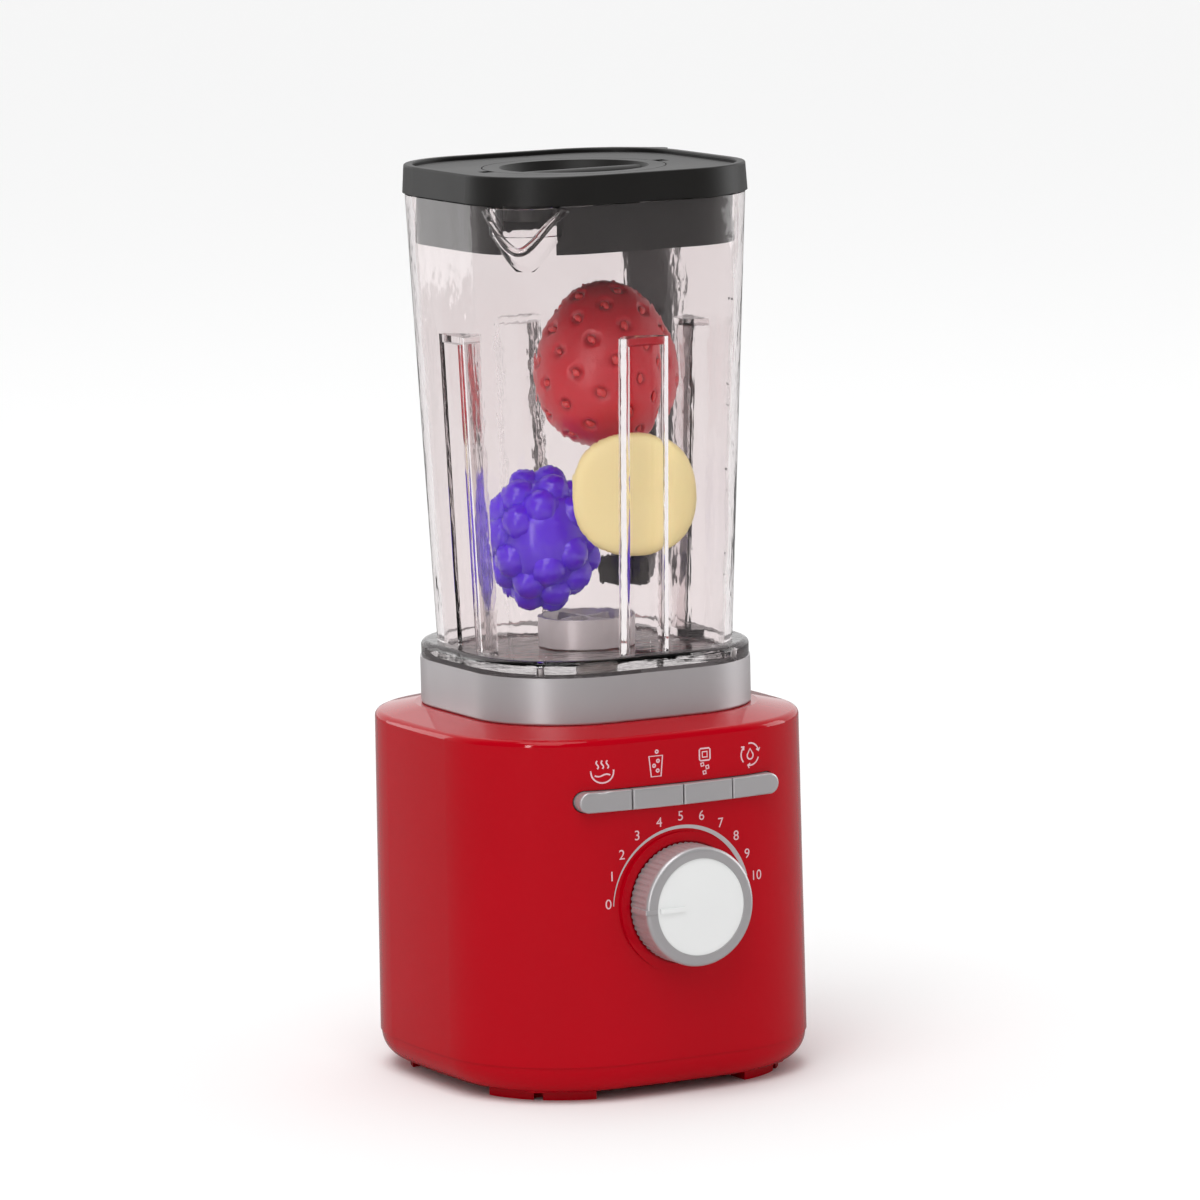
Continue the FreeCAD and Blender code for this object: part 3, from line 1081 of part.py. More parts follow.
# Lid with its skirt, spout lobe and thumb tab, and the filler cap in it
def lid_shell():
    piece = Piece("lid_shell", z=LID)
    corner, bow = size("lid_corner"), size("jar_bow")
    top_corner = "(Sizes.lid_corner - Sizes.lid_half + Sizes.lid_top_half)"
    piece.loft("Slab", [("0", soft_square(size("lid_half"), corner, bow)),
                        ("Sizes.lid_height", soft_square(size("lid_top_half"), top_corner,
                                                         bow))])
    piece.extrude("Tab", polygon(
        ("20", "-(Sizes.tab_width / 2)"), ("Sizes.tab_reach", "-(Sizes.tab_width / 2)"),
        ("Sizes.tab_reach", "(Sizes.tab_width / 2)"), ("20", "(Sizes.tab_width / 2)")),
        "(Sizes.lid_height - Sizes.lid_recess - Sizes.tab_thick)", size("tab_thick"),
        turn=Rotation(Vector(0, 0, 1), 45))
    far = value(size("tab_reach"))
    piece.fillet("TabCorners", size("tab_round"), lambda edge: all(
        abs((vertex.X + vertex.Y) / math.sqrt(2) - far) < 0.01 for vertex in edge.Vertexes)
        and abs(edge.Vertexes[0].Z - edge.Vertexes[1].Z) > 1)
    piece.cut("TopRecess", soft_square("(Sizes.lid_top_half - Sizes.lid_rim)",
                                       "(%s - Sizes.lid_rim)" % top_corner, bow),
              "(Sizes.lid_height - Sizes.lid_recess)", "Sizes.lid_recess + 1")
    deck_under = "(Sizes.lid_height - Sizes.lid_recess - Sizes.lid_deck)"
    skirt = "(Sizes.jar_rim_half - Sizes.jar_wall - Sizes.skirt_gap - %s)" % SKIRT_TAPER
    skirt_corner = "(Sizes.jar_rim_corner - Sizes.jar_wall - Sizes.skirt_gap)"
    piece.cut("UnderRoom", soft_square("(%s - Sizes.skirt_wall)" % skirt,
                                       "(%s - Sizes.skirt_wall)" % skirt_corner, bow),
              "0", deck_under)
    piece.extrude("Skirt", several(
        soft_square(skirt, skirt_corner, bow),
        soft_square("(%s - Sizes.skirt_wall)" % skirt, "(%s - Sizes.skirt_wall)" % skirt_corner,
                    bow)), "-1 * Sizes.skirt_depth", "Sizes.skirt_depth + 1")
    piece.extrude("Lobe", disc(size("lobe_radius"), size("lobe_reach"), "0"),
                  "-1 * Sizes.lobe_drop", "Sizes.lobe_drop + 1", turn=SPOUT_TURN)
    piece.cut("SpoutGap", block("6", "(Sizes.lobe_radius)", "(Sizes.lobe_reach + 2)", "0"),
              "-1 * Sizes.skirt_depth", "(Sizes.skirt_depth - Sizes.lobe_drop)",
              turn=SPOUT_TURN)
    seat = "(Sizes.cap_radius + Sizes.cap_gap)"
    neck = "(Sizes.cap_radius - Sizes.cap_lip + Sizes.cap_gap)"
    piece.cut("CapSeat", disc(seat), CAP_SEAT, "Sizes.cap_lip_height + 1")
    piece.cut("CapHole", disc(neck), deck_under, size("lid_deck"))
    for side in (-1, 1):
        piece.cut("Notch%d" % (side + 1), block("3", "(Sizes.notch_width / 2)",
                                                signed(side, "(%s + 1)" % seat), "0"),
                  CAP_SEAT, "Sizes.cap_lip_height + 1")
    piece.fillet("TopRound", "0.7", level_edges("Sizes.lid_height"))
    return piece


SKIRT_TAPER = ("((Sizes.jar_rim_half - Sizes.jar_foot_half) * Sizes.skirt_depth "
               "/ Sizes.jar_height)")
CAP_SEAT = "(Sizes.lid_height - Sizes.lid_recess - Sizes.cap_lip_height)"


def filler_cap():
    piece = Piece("filler_cap", z="(%s + %s)" % (LID, CAP_SEAT))
    plug = "(Sizes.cap_radius - Sizes.cap_lip)"
    low = "(Sizes.cap_lip_height - Sizes.cap_depth)"
    dish = "(Sizes.cap_lip_height - Sizes.dish_depth)"
    inner = "(%s - Sizes.cap_wall)" % plug
    piece.revolve("Cup", (
        ("0", "(%s - Sizes.cap_wall)" % dish), (inner, "(%s - Sizes.cap_wall)" % dish),
        (inner, low), (plug, low), (plug, "0"), ("Sizes.cap_radius", "0"),
        ("Sizes.cap_radius", "Sizes.cap_lip_height"), ("Sizes.dish_radius",
                                                      "Sizes.cap_lip_height"),
        ("(Sizes.dish_radius - 3)", dish), ("0", dish)))
    piece.extrude("Grip", block("(Sizes.dish_radius - 0.5)", "(Sizes.grip_width / 2)"),
                  "(%s - 0.5)" % dish, "(Sizes.grip_rise + 0.5)")
    top = value("%s + Sizes.grip_rise" % dish)
    piece.fillet("GripRound", "(Sizes.grip_width / 2 - 0.8)", lambda edge: all(
        abs(vertex.Z - top) < 0.01 and abs(vertex.X) > 5 for vertex in edge.Vertexes)
        and edge.Length > 20)
    return piece


# Play food that lies loose in the jar
def beside(side, depth):
    """Place from the drive axis: to the right and away along the three-quarter direction."""
    turn = math.radians(value(size("view_turn")))
    right = Vector(math.cos(turn), -math.sin(turn), 0)
    away = Vector(math.sin(turn), math.cos(turn), 0)
    return right * side + away * depth


def play_berry():
    feature = doc.addObject("Part::Feature", "play_berry")
    feature.Label = "play_berry"
    half_width, half_height = value(size("berry_half_width")), value(size("berry_half_height"))
    grain = value(size("drupelet_radius"))
    rows = int(value(size("drupelet_rows")))
    shape = Part.makeSphere(half_width + grain * 0.45)
    for row in range(rows + 1):
        tilt = math.pi * row / rows - math.pi / 2
        ring = half_width * math.cos(tilt)
        count = max(1, int(2 * math.pi * ring / (1.9 * grain)))
        for number in range(count):
            angle = 2 * math.pi * (number + 0.5 * (row % 2)) / count
            place = Vector(ring * math.cos(angle), ring * math.sin(angle),
                           half_height * math.sin(tilt))
            shape = shape.fuse(Part.makeSphere(grain, place))
    feature.Shape = shape.removeSplitter()
    low = value("%s + Sizes.food_gap" % ROTOR_TOP) + half_height + grain
    place = beside(-value(size("berry_side")), value(size("berry_back")))
    feature.Placement = Placement(place + Vector(0, 0, low), Rotation())
    return feature


def strawberry():
    feature = doc.addObject("Part::Feature", "strawberry")
    feature.Label = "strawberry"
    radius, height = value(size("strawberry_radius")), value(size("strawberry_height"))
    egg = value(size("strawberry_egg"))
    steps = 10
    points = []
    for number in range(steps + 1):
        turn = math.pi * number / steps
        across = radius * math.sin(turn) * (1 + egg * math.cos(turn))
        points.append(Vector(across, 0, height * (1 - math.cos(turn)) / 2))
    skin = Part.BSplineCurve()
    skin.interpolate(points, False)
    axis = Part.LineSegment(points[-1], points[0])
    face = Part.Face(Part.Wire([skin.toShape(), axis.toShape()]))
    feature.Shape = face.revolve(Vector(), Vector(0, 0, 1), 360)
    place = beside(value(size("strawberry_side")), value(size("strawberry_back")))
    feature.Placement = Placement(place + Vector(0, 0, value(size("strawberry_level"))),
                                  Rotation())
    return feature


def banana_slice():
    turn = Rotation(Vector(0, 0, 1), -value(size("view_turn"))) * Rotation(Vector(1, 0, 0), 90)
    place = beside(value(size("slice_side")), -value(size("slice_front")))
    piece = Piece("banana_slice", x=str(place.x), y=str(place.y), z=size("slice_level"),
                  turn=turn)
    half = "(Sizes.slice_thick / 2)"
    piece.extrude("Slice", soft_square(size("slice_half"), size("slice_corner"),
                                       size("slice_bow")), "-1 * " + half, size("slice_thick"))
    piece.fillet("SliceRound", size("slice_round"), lambda edge: all(
        abs(abs(vertex.Z) - value(half)) < 0.01 for vertex in edge.Vertexes))
    return piece


PIECES = [
    base_housing, base_tray, battery_door, housing_screws, battery_door_screw, battery_cells,
    battery_contacts, drive_gear, motor_pinion, drive_shaft, motor_shaft, motor_body,
    gear_plate, gear_plate_screws, drive_bush, drive_coupler, driven_coupler, switch_board,
    board_screws, tact_switches, rotary_switch, speed_knob, knob_disc, knob_spindle,
    jar_vessel, jar_collar, collar_screws, jar_bush, blade_shaft, blade_rotor, jar_handle,
    lid_shell, filler_cap, play_berry, strawberry, banana_slice,
]


def build():
    """Make every sub-part, check it, and write it to its own file."""
    made = [maker() for maker in PIECES] + [button(number) for number in range(4)]
    parts = [item.body if isinstance(item, Piece) else item for item in made]
    doc.recompute()
    faults = [item.Name for item in doc.Objects
              if "Invalid" in item.State or "Error" in item.State]
    for item in doc.Objects:
        if item.TypeId in CUTS and item.BaseFeature:
            if item.Shape.Volume > item.BaseFeature.Shape.Volume - 0.001:
                faults.append("%s cuts nothing" % item.Name)
    for part in parts:
        if part.Shape.isNull() or not part.Shape.isValid() or part.Shape.Volume <= 0:
            faults.append("%s has no valid shape" % part.Label)
    if faults:
        raise RuntimeError("faults: " + ", ".join(faults))
    os.makedirs("parts", exist_ok=True)
    for part in parts:
        part.Shape.exportStep("parts/%s.step" % part.Label)
        box = part.Shape.BoundBox
        print("%-20s solids %d  x %.1f..%.1f  y %.1f..%.1f  z %.1f..%.1f" % (
            part.Label, len(part.Shape.Solids), box.XMin, box.XMax, box.YMin, box.YMax,
            box.ZMin, box.ZMax))


build()
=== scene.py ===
import json
import logging
import math
from dataclasses import dataclass, field
from enum import Enum

import bmesh
import bpy
from mathutils import Matrix, Vector
from mathutils.bvhtree import BVHTree


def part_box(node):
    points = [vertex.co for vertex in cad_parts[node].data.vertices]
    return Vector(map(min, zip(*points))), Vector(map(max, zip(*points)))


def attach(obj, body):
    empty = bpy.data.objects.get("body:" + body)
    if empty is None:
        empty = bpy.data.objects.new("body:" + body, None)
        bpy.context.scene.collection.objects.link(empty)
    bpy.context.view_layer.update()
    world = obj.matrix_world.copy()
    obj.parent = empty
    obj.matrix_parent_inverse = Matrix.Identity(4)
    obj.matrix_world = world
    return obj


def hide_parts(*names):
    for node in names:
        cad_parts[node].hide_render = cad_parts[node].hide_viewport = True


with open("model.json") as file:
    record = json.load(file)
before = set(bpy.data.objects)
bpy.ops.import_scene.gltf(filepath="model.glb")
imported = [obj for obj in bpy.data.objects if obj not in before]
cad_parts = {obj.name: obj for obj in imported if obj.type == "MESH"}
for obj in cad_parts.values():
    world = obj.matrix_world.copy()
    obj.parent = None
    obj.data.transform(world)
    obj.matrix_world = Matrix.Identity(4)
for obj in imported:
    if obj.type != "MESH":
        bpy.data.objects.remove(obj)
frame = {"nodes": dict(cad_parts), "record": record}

log = logging.getLogger("scene")
MM = 0.001
GOLDEN_TURN = math.pi * (3 - math.sqrt(5))
Point = tuple[float, float]
Stroke = tuple[list[Point], bool]

DRIFT_SCALE, DRIFT_DETAIL, GRAIN_DETAIL = 28.0, 4.0, 3.0
FRUIT_GLOW, FRUIT_GLOW_DEPTH = 0.05, 0.004
GLASS_IOR = 1.33
SHADOW_TINT = (0.97, 0.955, 0.955, 1)
SCATTER_SEED = 7


class Kind(Enum):
    """How a finish is made up in the shader."""

    PLASTIC = "plastic"
    CLEAR = "clear"
    FRUIT = "fruit"


@dataclass(frozen=True)
class Finish:
    """One surface finish: colours are linear, grain is a scale on Object coordinates.

    The colour drifts to the tint over the surface, and the roughness between its two values. A
    fruit drifts only half-way; its shade group takes it the rest of the way where the bulge value
    is low, which paints shade into the strawberry's dimples and between the berry's drupelets.
    """

    slot: str
    color: tuple[float, float, float]
    tint: tuple[float, float, float]
    roughness: tuple[float, float]
    grain: float = 900.0
    bump: float = 0.05
    depth: float = 0.3
    metallic: float = 0.0
    specular: float = 0.5
    stretch: tuple[float, float, float] = (1.0, 1.0, 1.0)
    kind: Kind = Kind.PLASTIC


FINISHES: dict[str, Finish] = {
    "red_shell": Finish("red_shell", (0.47, 0.0, 0.008), (0.41, 0.0, 0.006), (0.05, 0.09),
                        grain=350, bump=0.012, specular=0.26),
    "silver_satin": Finish("silver_satin", (0.62, 0.6, 0.61), (0.53, 0.51, 0.52), (0.34, 0.44),
                           grain=1500, bump=0.12, metallic=0.6, stretch=(1.0, 1.0, 7.0)),
    "clear_jar": Finish("clear_jar", (0.9, 0.865, 0.862), (0.86, 0.8, 0.805), (0.02, 0.06),
                        grain=110, bump=0.5, depth=0.55, stretch=(1.0, 1.0, 0.35), kind=Kind.CLEAR),
    "black_lid": Finish("black_lid", (0.009, 0.008, 0.0075), (0.014, 0.013, 0.012),
                        (0.38, 0.5), grain=2200, bump=0.12, specular=0.3),
    "pale_dial": Finish("pale_dial", (0.84, 0.85, 0.84), (0.79, 0.8, 0.8), (0.3, 0.42)),
    "white_plastic": Finish("white_plastic", (0.8, 0.8, 0.77), (0.72, 0.72, 0.69),
                            (0.35, 0.5)),
    "steel": Finish("steel", (0.56, 0.56, 0.55), (0.42, 0.42, 0.42), (0.22, 0.38),
                    metallic=1.0),
    "cell_wrap": Finish("cell_wrap", (0.03, 0.03, 0.035), (0.08, 0.075, 0.07), (0.25, 0.4),
                        grain=500),
    "circuit_board": Finish("circuit_board", (0.01, 0.13, 0.05), (0.02, 0.19, 0.08),
                            (0.35, 0.5), grain=400),
    "switch_case": Finish("switch_case", (0.02, 0.02, 0.02), (0.03, 0.03, 0.03), (0.4, 0.55)),
    # Strawberry tint: painted shade, which fills the dimples round the seeds.
    "strawberry_red": Finish("strawberry_red", (0.78, 0.008, 0.025), (0.2, 0.0, 0.008),
                             (0.3, 0.4), grain=1500, bump=0.3, specular=0.5,
                             kind=Kind.FRUIT),
    # Berry tint: painted shade, which fills the hollows between the drupelets and the heart behind
    # them.
    "berry_purple": Finish("berry_purple", (0.13, 0.003, 1.0), (0.025, 0.0, 0.3),
                           (0.14, 0.22), grain=900, bump=0.06, specular=0.7,
                           kind=Kind.FRUIT),
    "banana_yellow": Finish("banana_yellow", (1.0, 0.9, 0.47), (0.92, 0.74, 0.3),
                            (0.45, 0.6), grain=700, bump=0.15, kind=Kind.FRUIT),
    "seed": Finish("strawberry_red", (0.85, 0.05, 0.05), (0.6, 0.02, 0.03), (0.25, 0.35)),
    "print_pink": Finish("silver_satin", (0.78, 0.52, 0.56), (0.72, 0.46, 0.5), (0.4, 0.5)),
    "print_silver": Finish("silver_satin", (0.55, 0.52, 0.53), (0.45, 0.42, 0.43), (0.3, 0.4)),
    "print_black": Finish("black_lid", (0.012, 0.012, 0.012), (0.02, 0.02, 0.02), (0.4, 0.5)),
}

SMOOTH_PRINT = 0.05 * MM
RAY_START = 0.1


def group_socket(tree: bpy.types.NodeTree, name: str, kind: str, out: bool = False) -> None:
    """Add one named input or output to a node group.

    Args:
        tree: the node group.
        name: name of the socket.
        kind: Blender's socket type name.
        out: True for an output.
    """
    tree.interface.new_socket(name, in_out="OUTPUT" if out else "INPUT", socket_type=kind)


class ShaderLibrary:
    """Makes the shared node groups once, and one material per finish."""

    def __init__(self) -> None:
        """Build the two groups."""
        self.surface = self._surface_group()
        self.skin = self._skin_group()
        self.made: dict[str, bpy.types.Material] = {}

    @staticmethod
    def _surface_group() -> bpy.types.NodeTree:
        """Group of moulded plastic: slow colour drift, rough patches and fine grain.

        Returns:
            The group, with outputs for colour, roughness and height.
        """
        tree = bpy.data.node_groups.new("MouldedSurface", "ShaderNodeTree")
        for name, kind in (("Color", "NodeSocketColor"), ("Tint", "NodeSocketColor"),
                           ("Grain", "NodeSocketFloat"), ("Smooth", "NodeSocketFloat"),
                           ("Rough", "NodeSocketFloat"), ("Stretch", "NodeSocketVector")):
            group_socket(tree, name, kind)
        for name, kind in (("Color", "NodeSocketColor"), ("Roughness", "NodeSocketFloat"),
                           ("Height", "NodeSocketFloat")):
            group_socket(tree, name, kind, True)
        add, link = tree.nodes.new, tree.links.new
        begin, end = add("NodeGroupInput"), add("NodeGroupOutput")
        place = add("ShaderNodeTexCoord")
        drift, fine = add("ShaderNodeTexNoise"), add("ShaderNodeTexNoise")
        drift.inputs["Scale"].default_value = DRIFT_SCALE
        drift.inputs["Detail"].default_value = DRIFT_DETAIL
        fine.inputs["Detail"].default_value = GRAIN_DETAIL
        color, rough = add("ShaderNodeMix"), add("ShaderNodeMapRange")
        color.data_type = "RGBA"
        link(place.outputs["Object"], drift.inputs["Vector"])
        stretch = add("ShaderNodeVectorMath")
        stretch.operation = "MULTIPLY"
        link(place.outputs["Object"], stretch.inputs[0])
        link(begin.outputs["Stretch"], stretch.inputs[1])
        link(stretch.outputs["Vector"], fine.inputs["Vector"])
        link(begin.outputs["Grain"], fine.inputs["Scale"])
        link(drift.outputs["Fac"], color.inputs["Factor"])
        link(begin.outputs["Color"], color.inputs["A"])
        link(begin.outputs["Tint"], color.inputs["B"])
        link(drift.outputs["Fac"], rough.inputs["Value"])
        link(begin.outputs["Smooth"], rough.inputs["To Min"])
        link(begin.outputs["Rough"], rough.inputs["To Max"])
        link(color.outputs["Result"], end.inputs["Color"])
        link(rough.outputs["Result"], end.inputs["Roughness"])
        link(fine.outputs["Fac"], end.inputs["Height"])
        return tree

    @staticmethod
    def _skin_group() -> bpy.types.NodeTree:
        """Group that paints shade into fruit skin: the hollows between bumps go to the tint, a
        darker colour.

        Returns:
            The group, with one colour output.
        """
        tree = bpy.data.node_groups.new("FruitSkinShade", "ShaderNodeTree")
        group_socket(tree, "Color", "NodeSocketColor")
        group_socket(tree, "Tint", "NodeSocketColor")
        group_socket(tree, "Color", "NodeSocketColor", True)
        add, link = tree.nodes.new, tree.links.new
        begin, end = add("NodeGroupInput"), add("NodeGroupOutput")
        bulge = add("ShaderNodeAttribute")
        bulge.attribute_name = "bulge"
        ramp, mix = add("ShaderNodeMapRange"), add("ShaderNodeMix")
        ramp.interpolation_type = "SMOOTHSTEP"
        mix.data_type = "RGBA"
        link(bulge.outputs["Fac"], ramp.inputs["Value"])
        link(ramp.outputs["Result"], mix.inputs["Factor"])
        link(begin.outputs["Tint"], mix.inputs["A"])
        link(begin.outputs["Color"], mix.inputs["B"])
        link(mix.outputs["Result"], end.inputs["Color"])
        return tree

    def material(self, name: str) -> bpy.types.Material:
        """Material of one finish, made on first use.

        Args:
            name: key of FINISHES.

        Returns:
            The material.
        """
        if name not in self.made:
            self.made[name] = self._make(name, FINISHES[name])
        return self.made[name]

    def _make(self, name: str, finish: Finish) -> bpy.types.Material:
        """Put one finish's values into the shared groups and the shader.

        Args:
            name: name of the material.
            finish: the values.

        Returns:
            The material.
        """
        material = bpy.data.materials.new(name)
        material.use_nodes = True
        nodes, link = material.node_tree.nodes, material.node_tree.links.new
        shader = nodes["Principled BSDF"]
        surface = nodes.new("ShaderNodeGroup")
        surface.node_tree = self.surface
        surface.inputs["Color"].default_value = (*finish.color, 1)
        surface.inputs["Tint"].default_value = (*finish.tint, 1)
        surface.inputs["Grain"].default_value = finish.grain
        surface.inputs["Smooth"].default_value = finish.roughness[0]
        surface.inputs["Rough"].default_value = finish.roughness[1]
        surface.inputs["Stretch"].default_value = finish.stretch
        color = surface.outputs["Color"]
        if finish.kind is Kind.FRUIT:
            skin = nodes.new("ShaderNodeGroup")
            skin.node_tree = self.skin
            # The fruit's tint is painted shade where the bulge value is low: in the strawberry's
            # dimples and between the berry's drupelets.
            skin.inputs["Tint"].default_value = (*finish.tint, 1)
            surface.inputs["Tint"].default_value = tuple(
                (a + b) / 2 for a, b in zip((*finish.color, 1), (*finish.tint, 1)))
            link(color, skin.inputs["Color"])
            color = skin.outputs["Color"]
            shader.inputs["Subsurface Weight"].default_value = FRUIT_GLOW
            shader.inputs["Subsurface Scale"].default_value = FRUIT_GLOW_DEPTH
        bump = nodes.new("ShaderNodeBump")
        bump.inputs["Strength"].default_value = finish.bump
        bump.inputs["Distance"].default_value = finish.depth * MM
        link(surface.outputs["Height"], bump.inputs["Height"])
        link(bump.outputs["Normal"], shader.inputs["Normal"])
        link(color, shader.inputs["Base Color"])
        link(surface.outputs["Roughness"], shader.inputs["Roughness"])
        shader.inputs["Metallic"].default_value = finish.metallic
        shader.inputs["Specular IOR Level"].default_value = finish.specular
        if finish.kind is Kind.CLEAR:
            self._let_light_through(material, shader)
        return material

    @staticmethod
    def _let_light_through(material: bpy.types.Material, shader: bpy.types.Node) -> None:
        """Make the shader clear, with soft shadows instead of black ones.

        Args:
            material: the material of the clear finish.
            shader: its main shader node.
        """
        nodes, link = material.node_tree.nodes, material.node_tree.links.new
        shader.inputs["Transmission Weight"].default_value = 1.0
        shader.inputs["IOR"].default_value = GLASS_IOR
        path, clear = nodes.new("ShaderNodeLightPath"), nodes.new("ShaderNodeBsdfTransparent")
        clear.inputs["Color"].default_value = SHADOW_TINT
        mix = nodes.new("ShaderNodeMixShader")
        link(path.outputs["Is Shadow Ray"], mix.inputs["Fac"])
        link(shader.outputs["BSDF"], mix.inputs[1])
        link(clear.outputs["BSDF"], mix.inputs[2])
        link(mix.outputs["Shader"], nodes["Material Output"].inputs["Surface"])


def mesh_object(name: str, verts: list[Vector], faces: list[tuple[int, ...]],
                material: bpy.types.Material, smooth: bool = True) -> bpy.types.Object:
    """Object at the origin from vertices in the row frame.

    Args:
        name: name of the piece.
        verts: places in metres.
        faces: loops of vertex numbers.
        material: its one material.
        smooth: True to shade it smooth.

    Returns:
        The linked object, with its normals out.
    """
    mesh = bpy.data.meshes.new(name)
    mesh.from_pydata([tuple(v) for v in verts], [], faces)
    work = bmesh.new()
    work.from_mesh(mesh)
    bmesh.ops.recalc_face_normals(work, faces=work.faces)
    work.to_mesh(mesh)
    work.free()
    for polygon in mesh.polygons:
        polygon.use_smooth = smooth
    mesh.materials.append(material)
    item = bpy.data.objects.new(name, mesh)
    bpy.context.scene.collection.objects.link(item)
    return item


def scatter_tree() -> bpy.types.NodeTree:
    """Geometry Nodes group that sets a pattern object on each point, turned outwards.

    Returns:
        The group, which ends in real geometry with one material.
    """
    tree = bpy.data.node_groups.new("ScatterOutward", "GeometryNodeTree")
    group_socket(tree, "Geometry", "NodeSocketGeometry")
    for name, kind in (("Pattern", "NodeSocketObject"), ("Least Scale", "NodeSocketFloat"),
                       ("Most Scale", "NodeSocketFloat"), ("Seed", "NodeSocketInt"),
                       ("Material", "NodeSocketMaterial")):
        group_socket(tree, name, kind)
    group_socket(tree, "Geometry", "NodeSocketGeometry", True)
    add, link = tree.nodes.new, tree.links.new
    begin, end = add("NodeGroupInput"), add("NodeGroupOutput")
    points = add("GeometryNodeMeshToPoints")
    info = add("GeometryNodeObjectInfo")
    outward = add("GeometryNodeInputNamedAttribute")
    outward.data_type = "FLOAT_VECTOR"
    outward.inputs["Name"].default_value = "outward"
    turn = add("FunctionNodeAlignRotationToVector")
    turn.axis = "Z"
    sizes = add("FunctionNodeRandomValue")
    setter, real, paint = (add("GeometryNodeInstanceOnPoints"),
                           add("GeometryNodeRealizeInstances"), add("GeometryNodeSetMaterial"))
    link(begin.outputs["Geometry"], points.inputs["Mesh"])
    link(begin.outputs["Pattern"], info.inputs["Object"])
    link(outward.outputs["Attribute"], turn.inputs["Vector"])
    link(begin.outputs["Least Scale"], sizes.inputs[2])
    link(begin.outputs["Most Scale"], sizes.inputs[3])
    link(begin.outputs["Seed"], sizes.inputs["Seed"])
    link(points.outputs["Points"], setter.inputs["Points"])
    link(info.outputs["Geometry"], setter.inputs["Instance"])
    link(turn.outputs["Rotation"], setter.inputs["Rotation"])
    link(sizes.outputs[1], setter.inputs["Scale"])
    link(setter.outputs["Instances"], real.inputs["Geometry"])
    link(real.outputs["Geometry"], paint.inputs["Geometry"])
    link(begin.outputs["Material"], paint.inputs["Material"])
    link(paint.outputs["Geometry"], end.inputs["Geometry"])
    return tree


def scatter(name: str, tree: bpy.types.NodeTree, places: list[tuple[Vector, Vector]],
            pattern: bpy.types.Object, scales: tuple[float, float],
            material: bpy.types.Material) -> bpy.types.Object:
    """Repeat a pattern on places through the Geometry Nodes group.

    Args:
        name: name of the piece that comes out.
        tree: the group from scatter_tree.
        places: pairs of point and outward direction.
        pattern: object that is repeated.
        scales: least and most scale.
        material: material of the copies.

    Returns:
        One real mesh object at the origin.
    """
    mesh = bpy.data.meshes.new(name + "_places")
    mesh.from_pydata([tuple(place) for place, _ in places], [], [])
    attribute = mesh.attributes.new("outward", "FLOAT_VECTOR", "POINT")
    attribute.data.foreach_set("vector", [c for _, out in places for c in out.normalized()])
    holder = bpy.data.objects.new(name + "_places", mesh)
    bpy.context.scene.collection.objects.link(holder)
    modifier = holder.modifiers.new("Scatter", "NODES")
    modifier.node_group = tree
    values = {"Pattern": pattern, "Least Scale": scales[0], "Most Scale": scales[1],
              "Seed": SCATTER_SEED, "Material": material}
    for socket in tree.interface.items_tree:
        if socket.item_type == "SOCKET" and socket.in_out == "INPUT" and socket.name in values:
            modifier[socket.identifier] = values[socket.name]
    bpy.context.view_layer.update()
    graph = bpy.context.evaluated_depsgraph_get()
    real = bpy.data.meshes.new_from_object(holder.evaluated_get(graph))
    real.name = name
    for polygon in real.polygons:
        polygon.use_smooth = True
    real.materials.clear()
    real.materials.append(material)
    item = bpy.data.objects.new(name, real)
    bpy.context.scene.collection.objects.link(item)
    holder.modifiers.clear()
    bpy.data.objects.remove(holder)
    bpy.data.objects.remove(pattern)
    return item


def ball(radii: tuple[float, float, float], rings: int = 14) -> bpy.types.Object:
    """Ball with its pole on Z, the pattern that scatter repeats.

    Args:
        radii: half sizes in metres.
        rings: rows of faces.

    Returns:
        A linked object that scatter removes after use.
    """
    mesh = bpy.data.meshes.new("pattern")
    work = bmesh.new()
    bmesh.ops.create_uvsphere(work, u_segments=rings * 2, v_segments=rings, radius=1.0)
    bmesh.ops.scale(work, vec=radii, verts=work.verts)
    work.to_mesh(mesh)
    work.free()
    item = bpy.data.objects.new("pattern", mesh)
    bpy.context.scene.collection.objects.link(item)
    return item


def spread_on_ball(count: int) -> list[Vector]:
    """Evenly spread directions, along a spiral from pole to pole.

    Args:
        count: how many.

    Returns:
        Vectors of length one.
    """
    places = []
    for number in range(count):
        z = 1 - (2 * number + 1) / count
        ring, turn = math.sqrt(1 - z * z), GOLDEN_TURN * number
        places.append(Vector((ring * math.cos(turn), ring * math.sin(turn), z)))
    return places


def middle_of(node: str) -> tuple[Vector, Vector]:
    """Centre and half sizes of a CAD node's box.

    Args:
        node: name of the node.

    Returns:
        The centre and the half sizes, in metres.
    """
    low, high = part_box(node)
    return (low + high) / 2, (high - low) / 2


def tube_faces(rows: int, steps: int) -> list[tuple[int, ...]]:
    """Faces between rings of vertices that follow each other.

    Args:
        rows: rows of faces, one fewer than the rings.
        steps: vertices in a ring.

    Returns:
        Loops of vertex numbers.
    """
    return [(row * steps + step, row * steps + (step + 1) % steps,
             (row + 1) * steps + (step + 1) % steps, (row + 1) * steps + step)
            for row in range(rows) for step in range(steps)]


def write_bulge(piece: bpy.types.Object, values: list[float]) -> None:
    """Write the attribute that the fruit's shade group reads: 1 on a bump, 0 in a hollow; low
    values paint shade by taking the colour to the fruit's tint.

    Args:
        piece: a fruit piece.
        values: one value for each vertex.
    """
    bulge = piece.data.attributes.new("bulge", "FLOAT", "POINT")
    bulge.data.foreach_set("value", values)


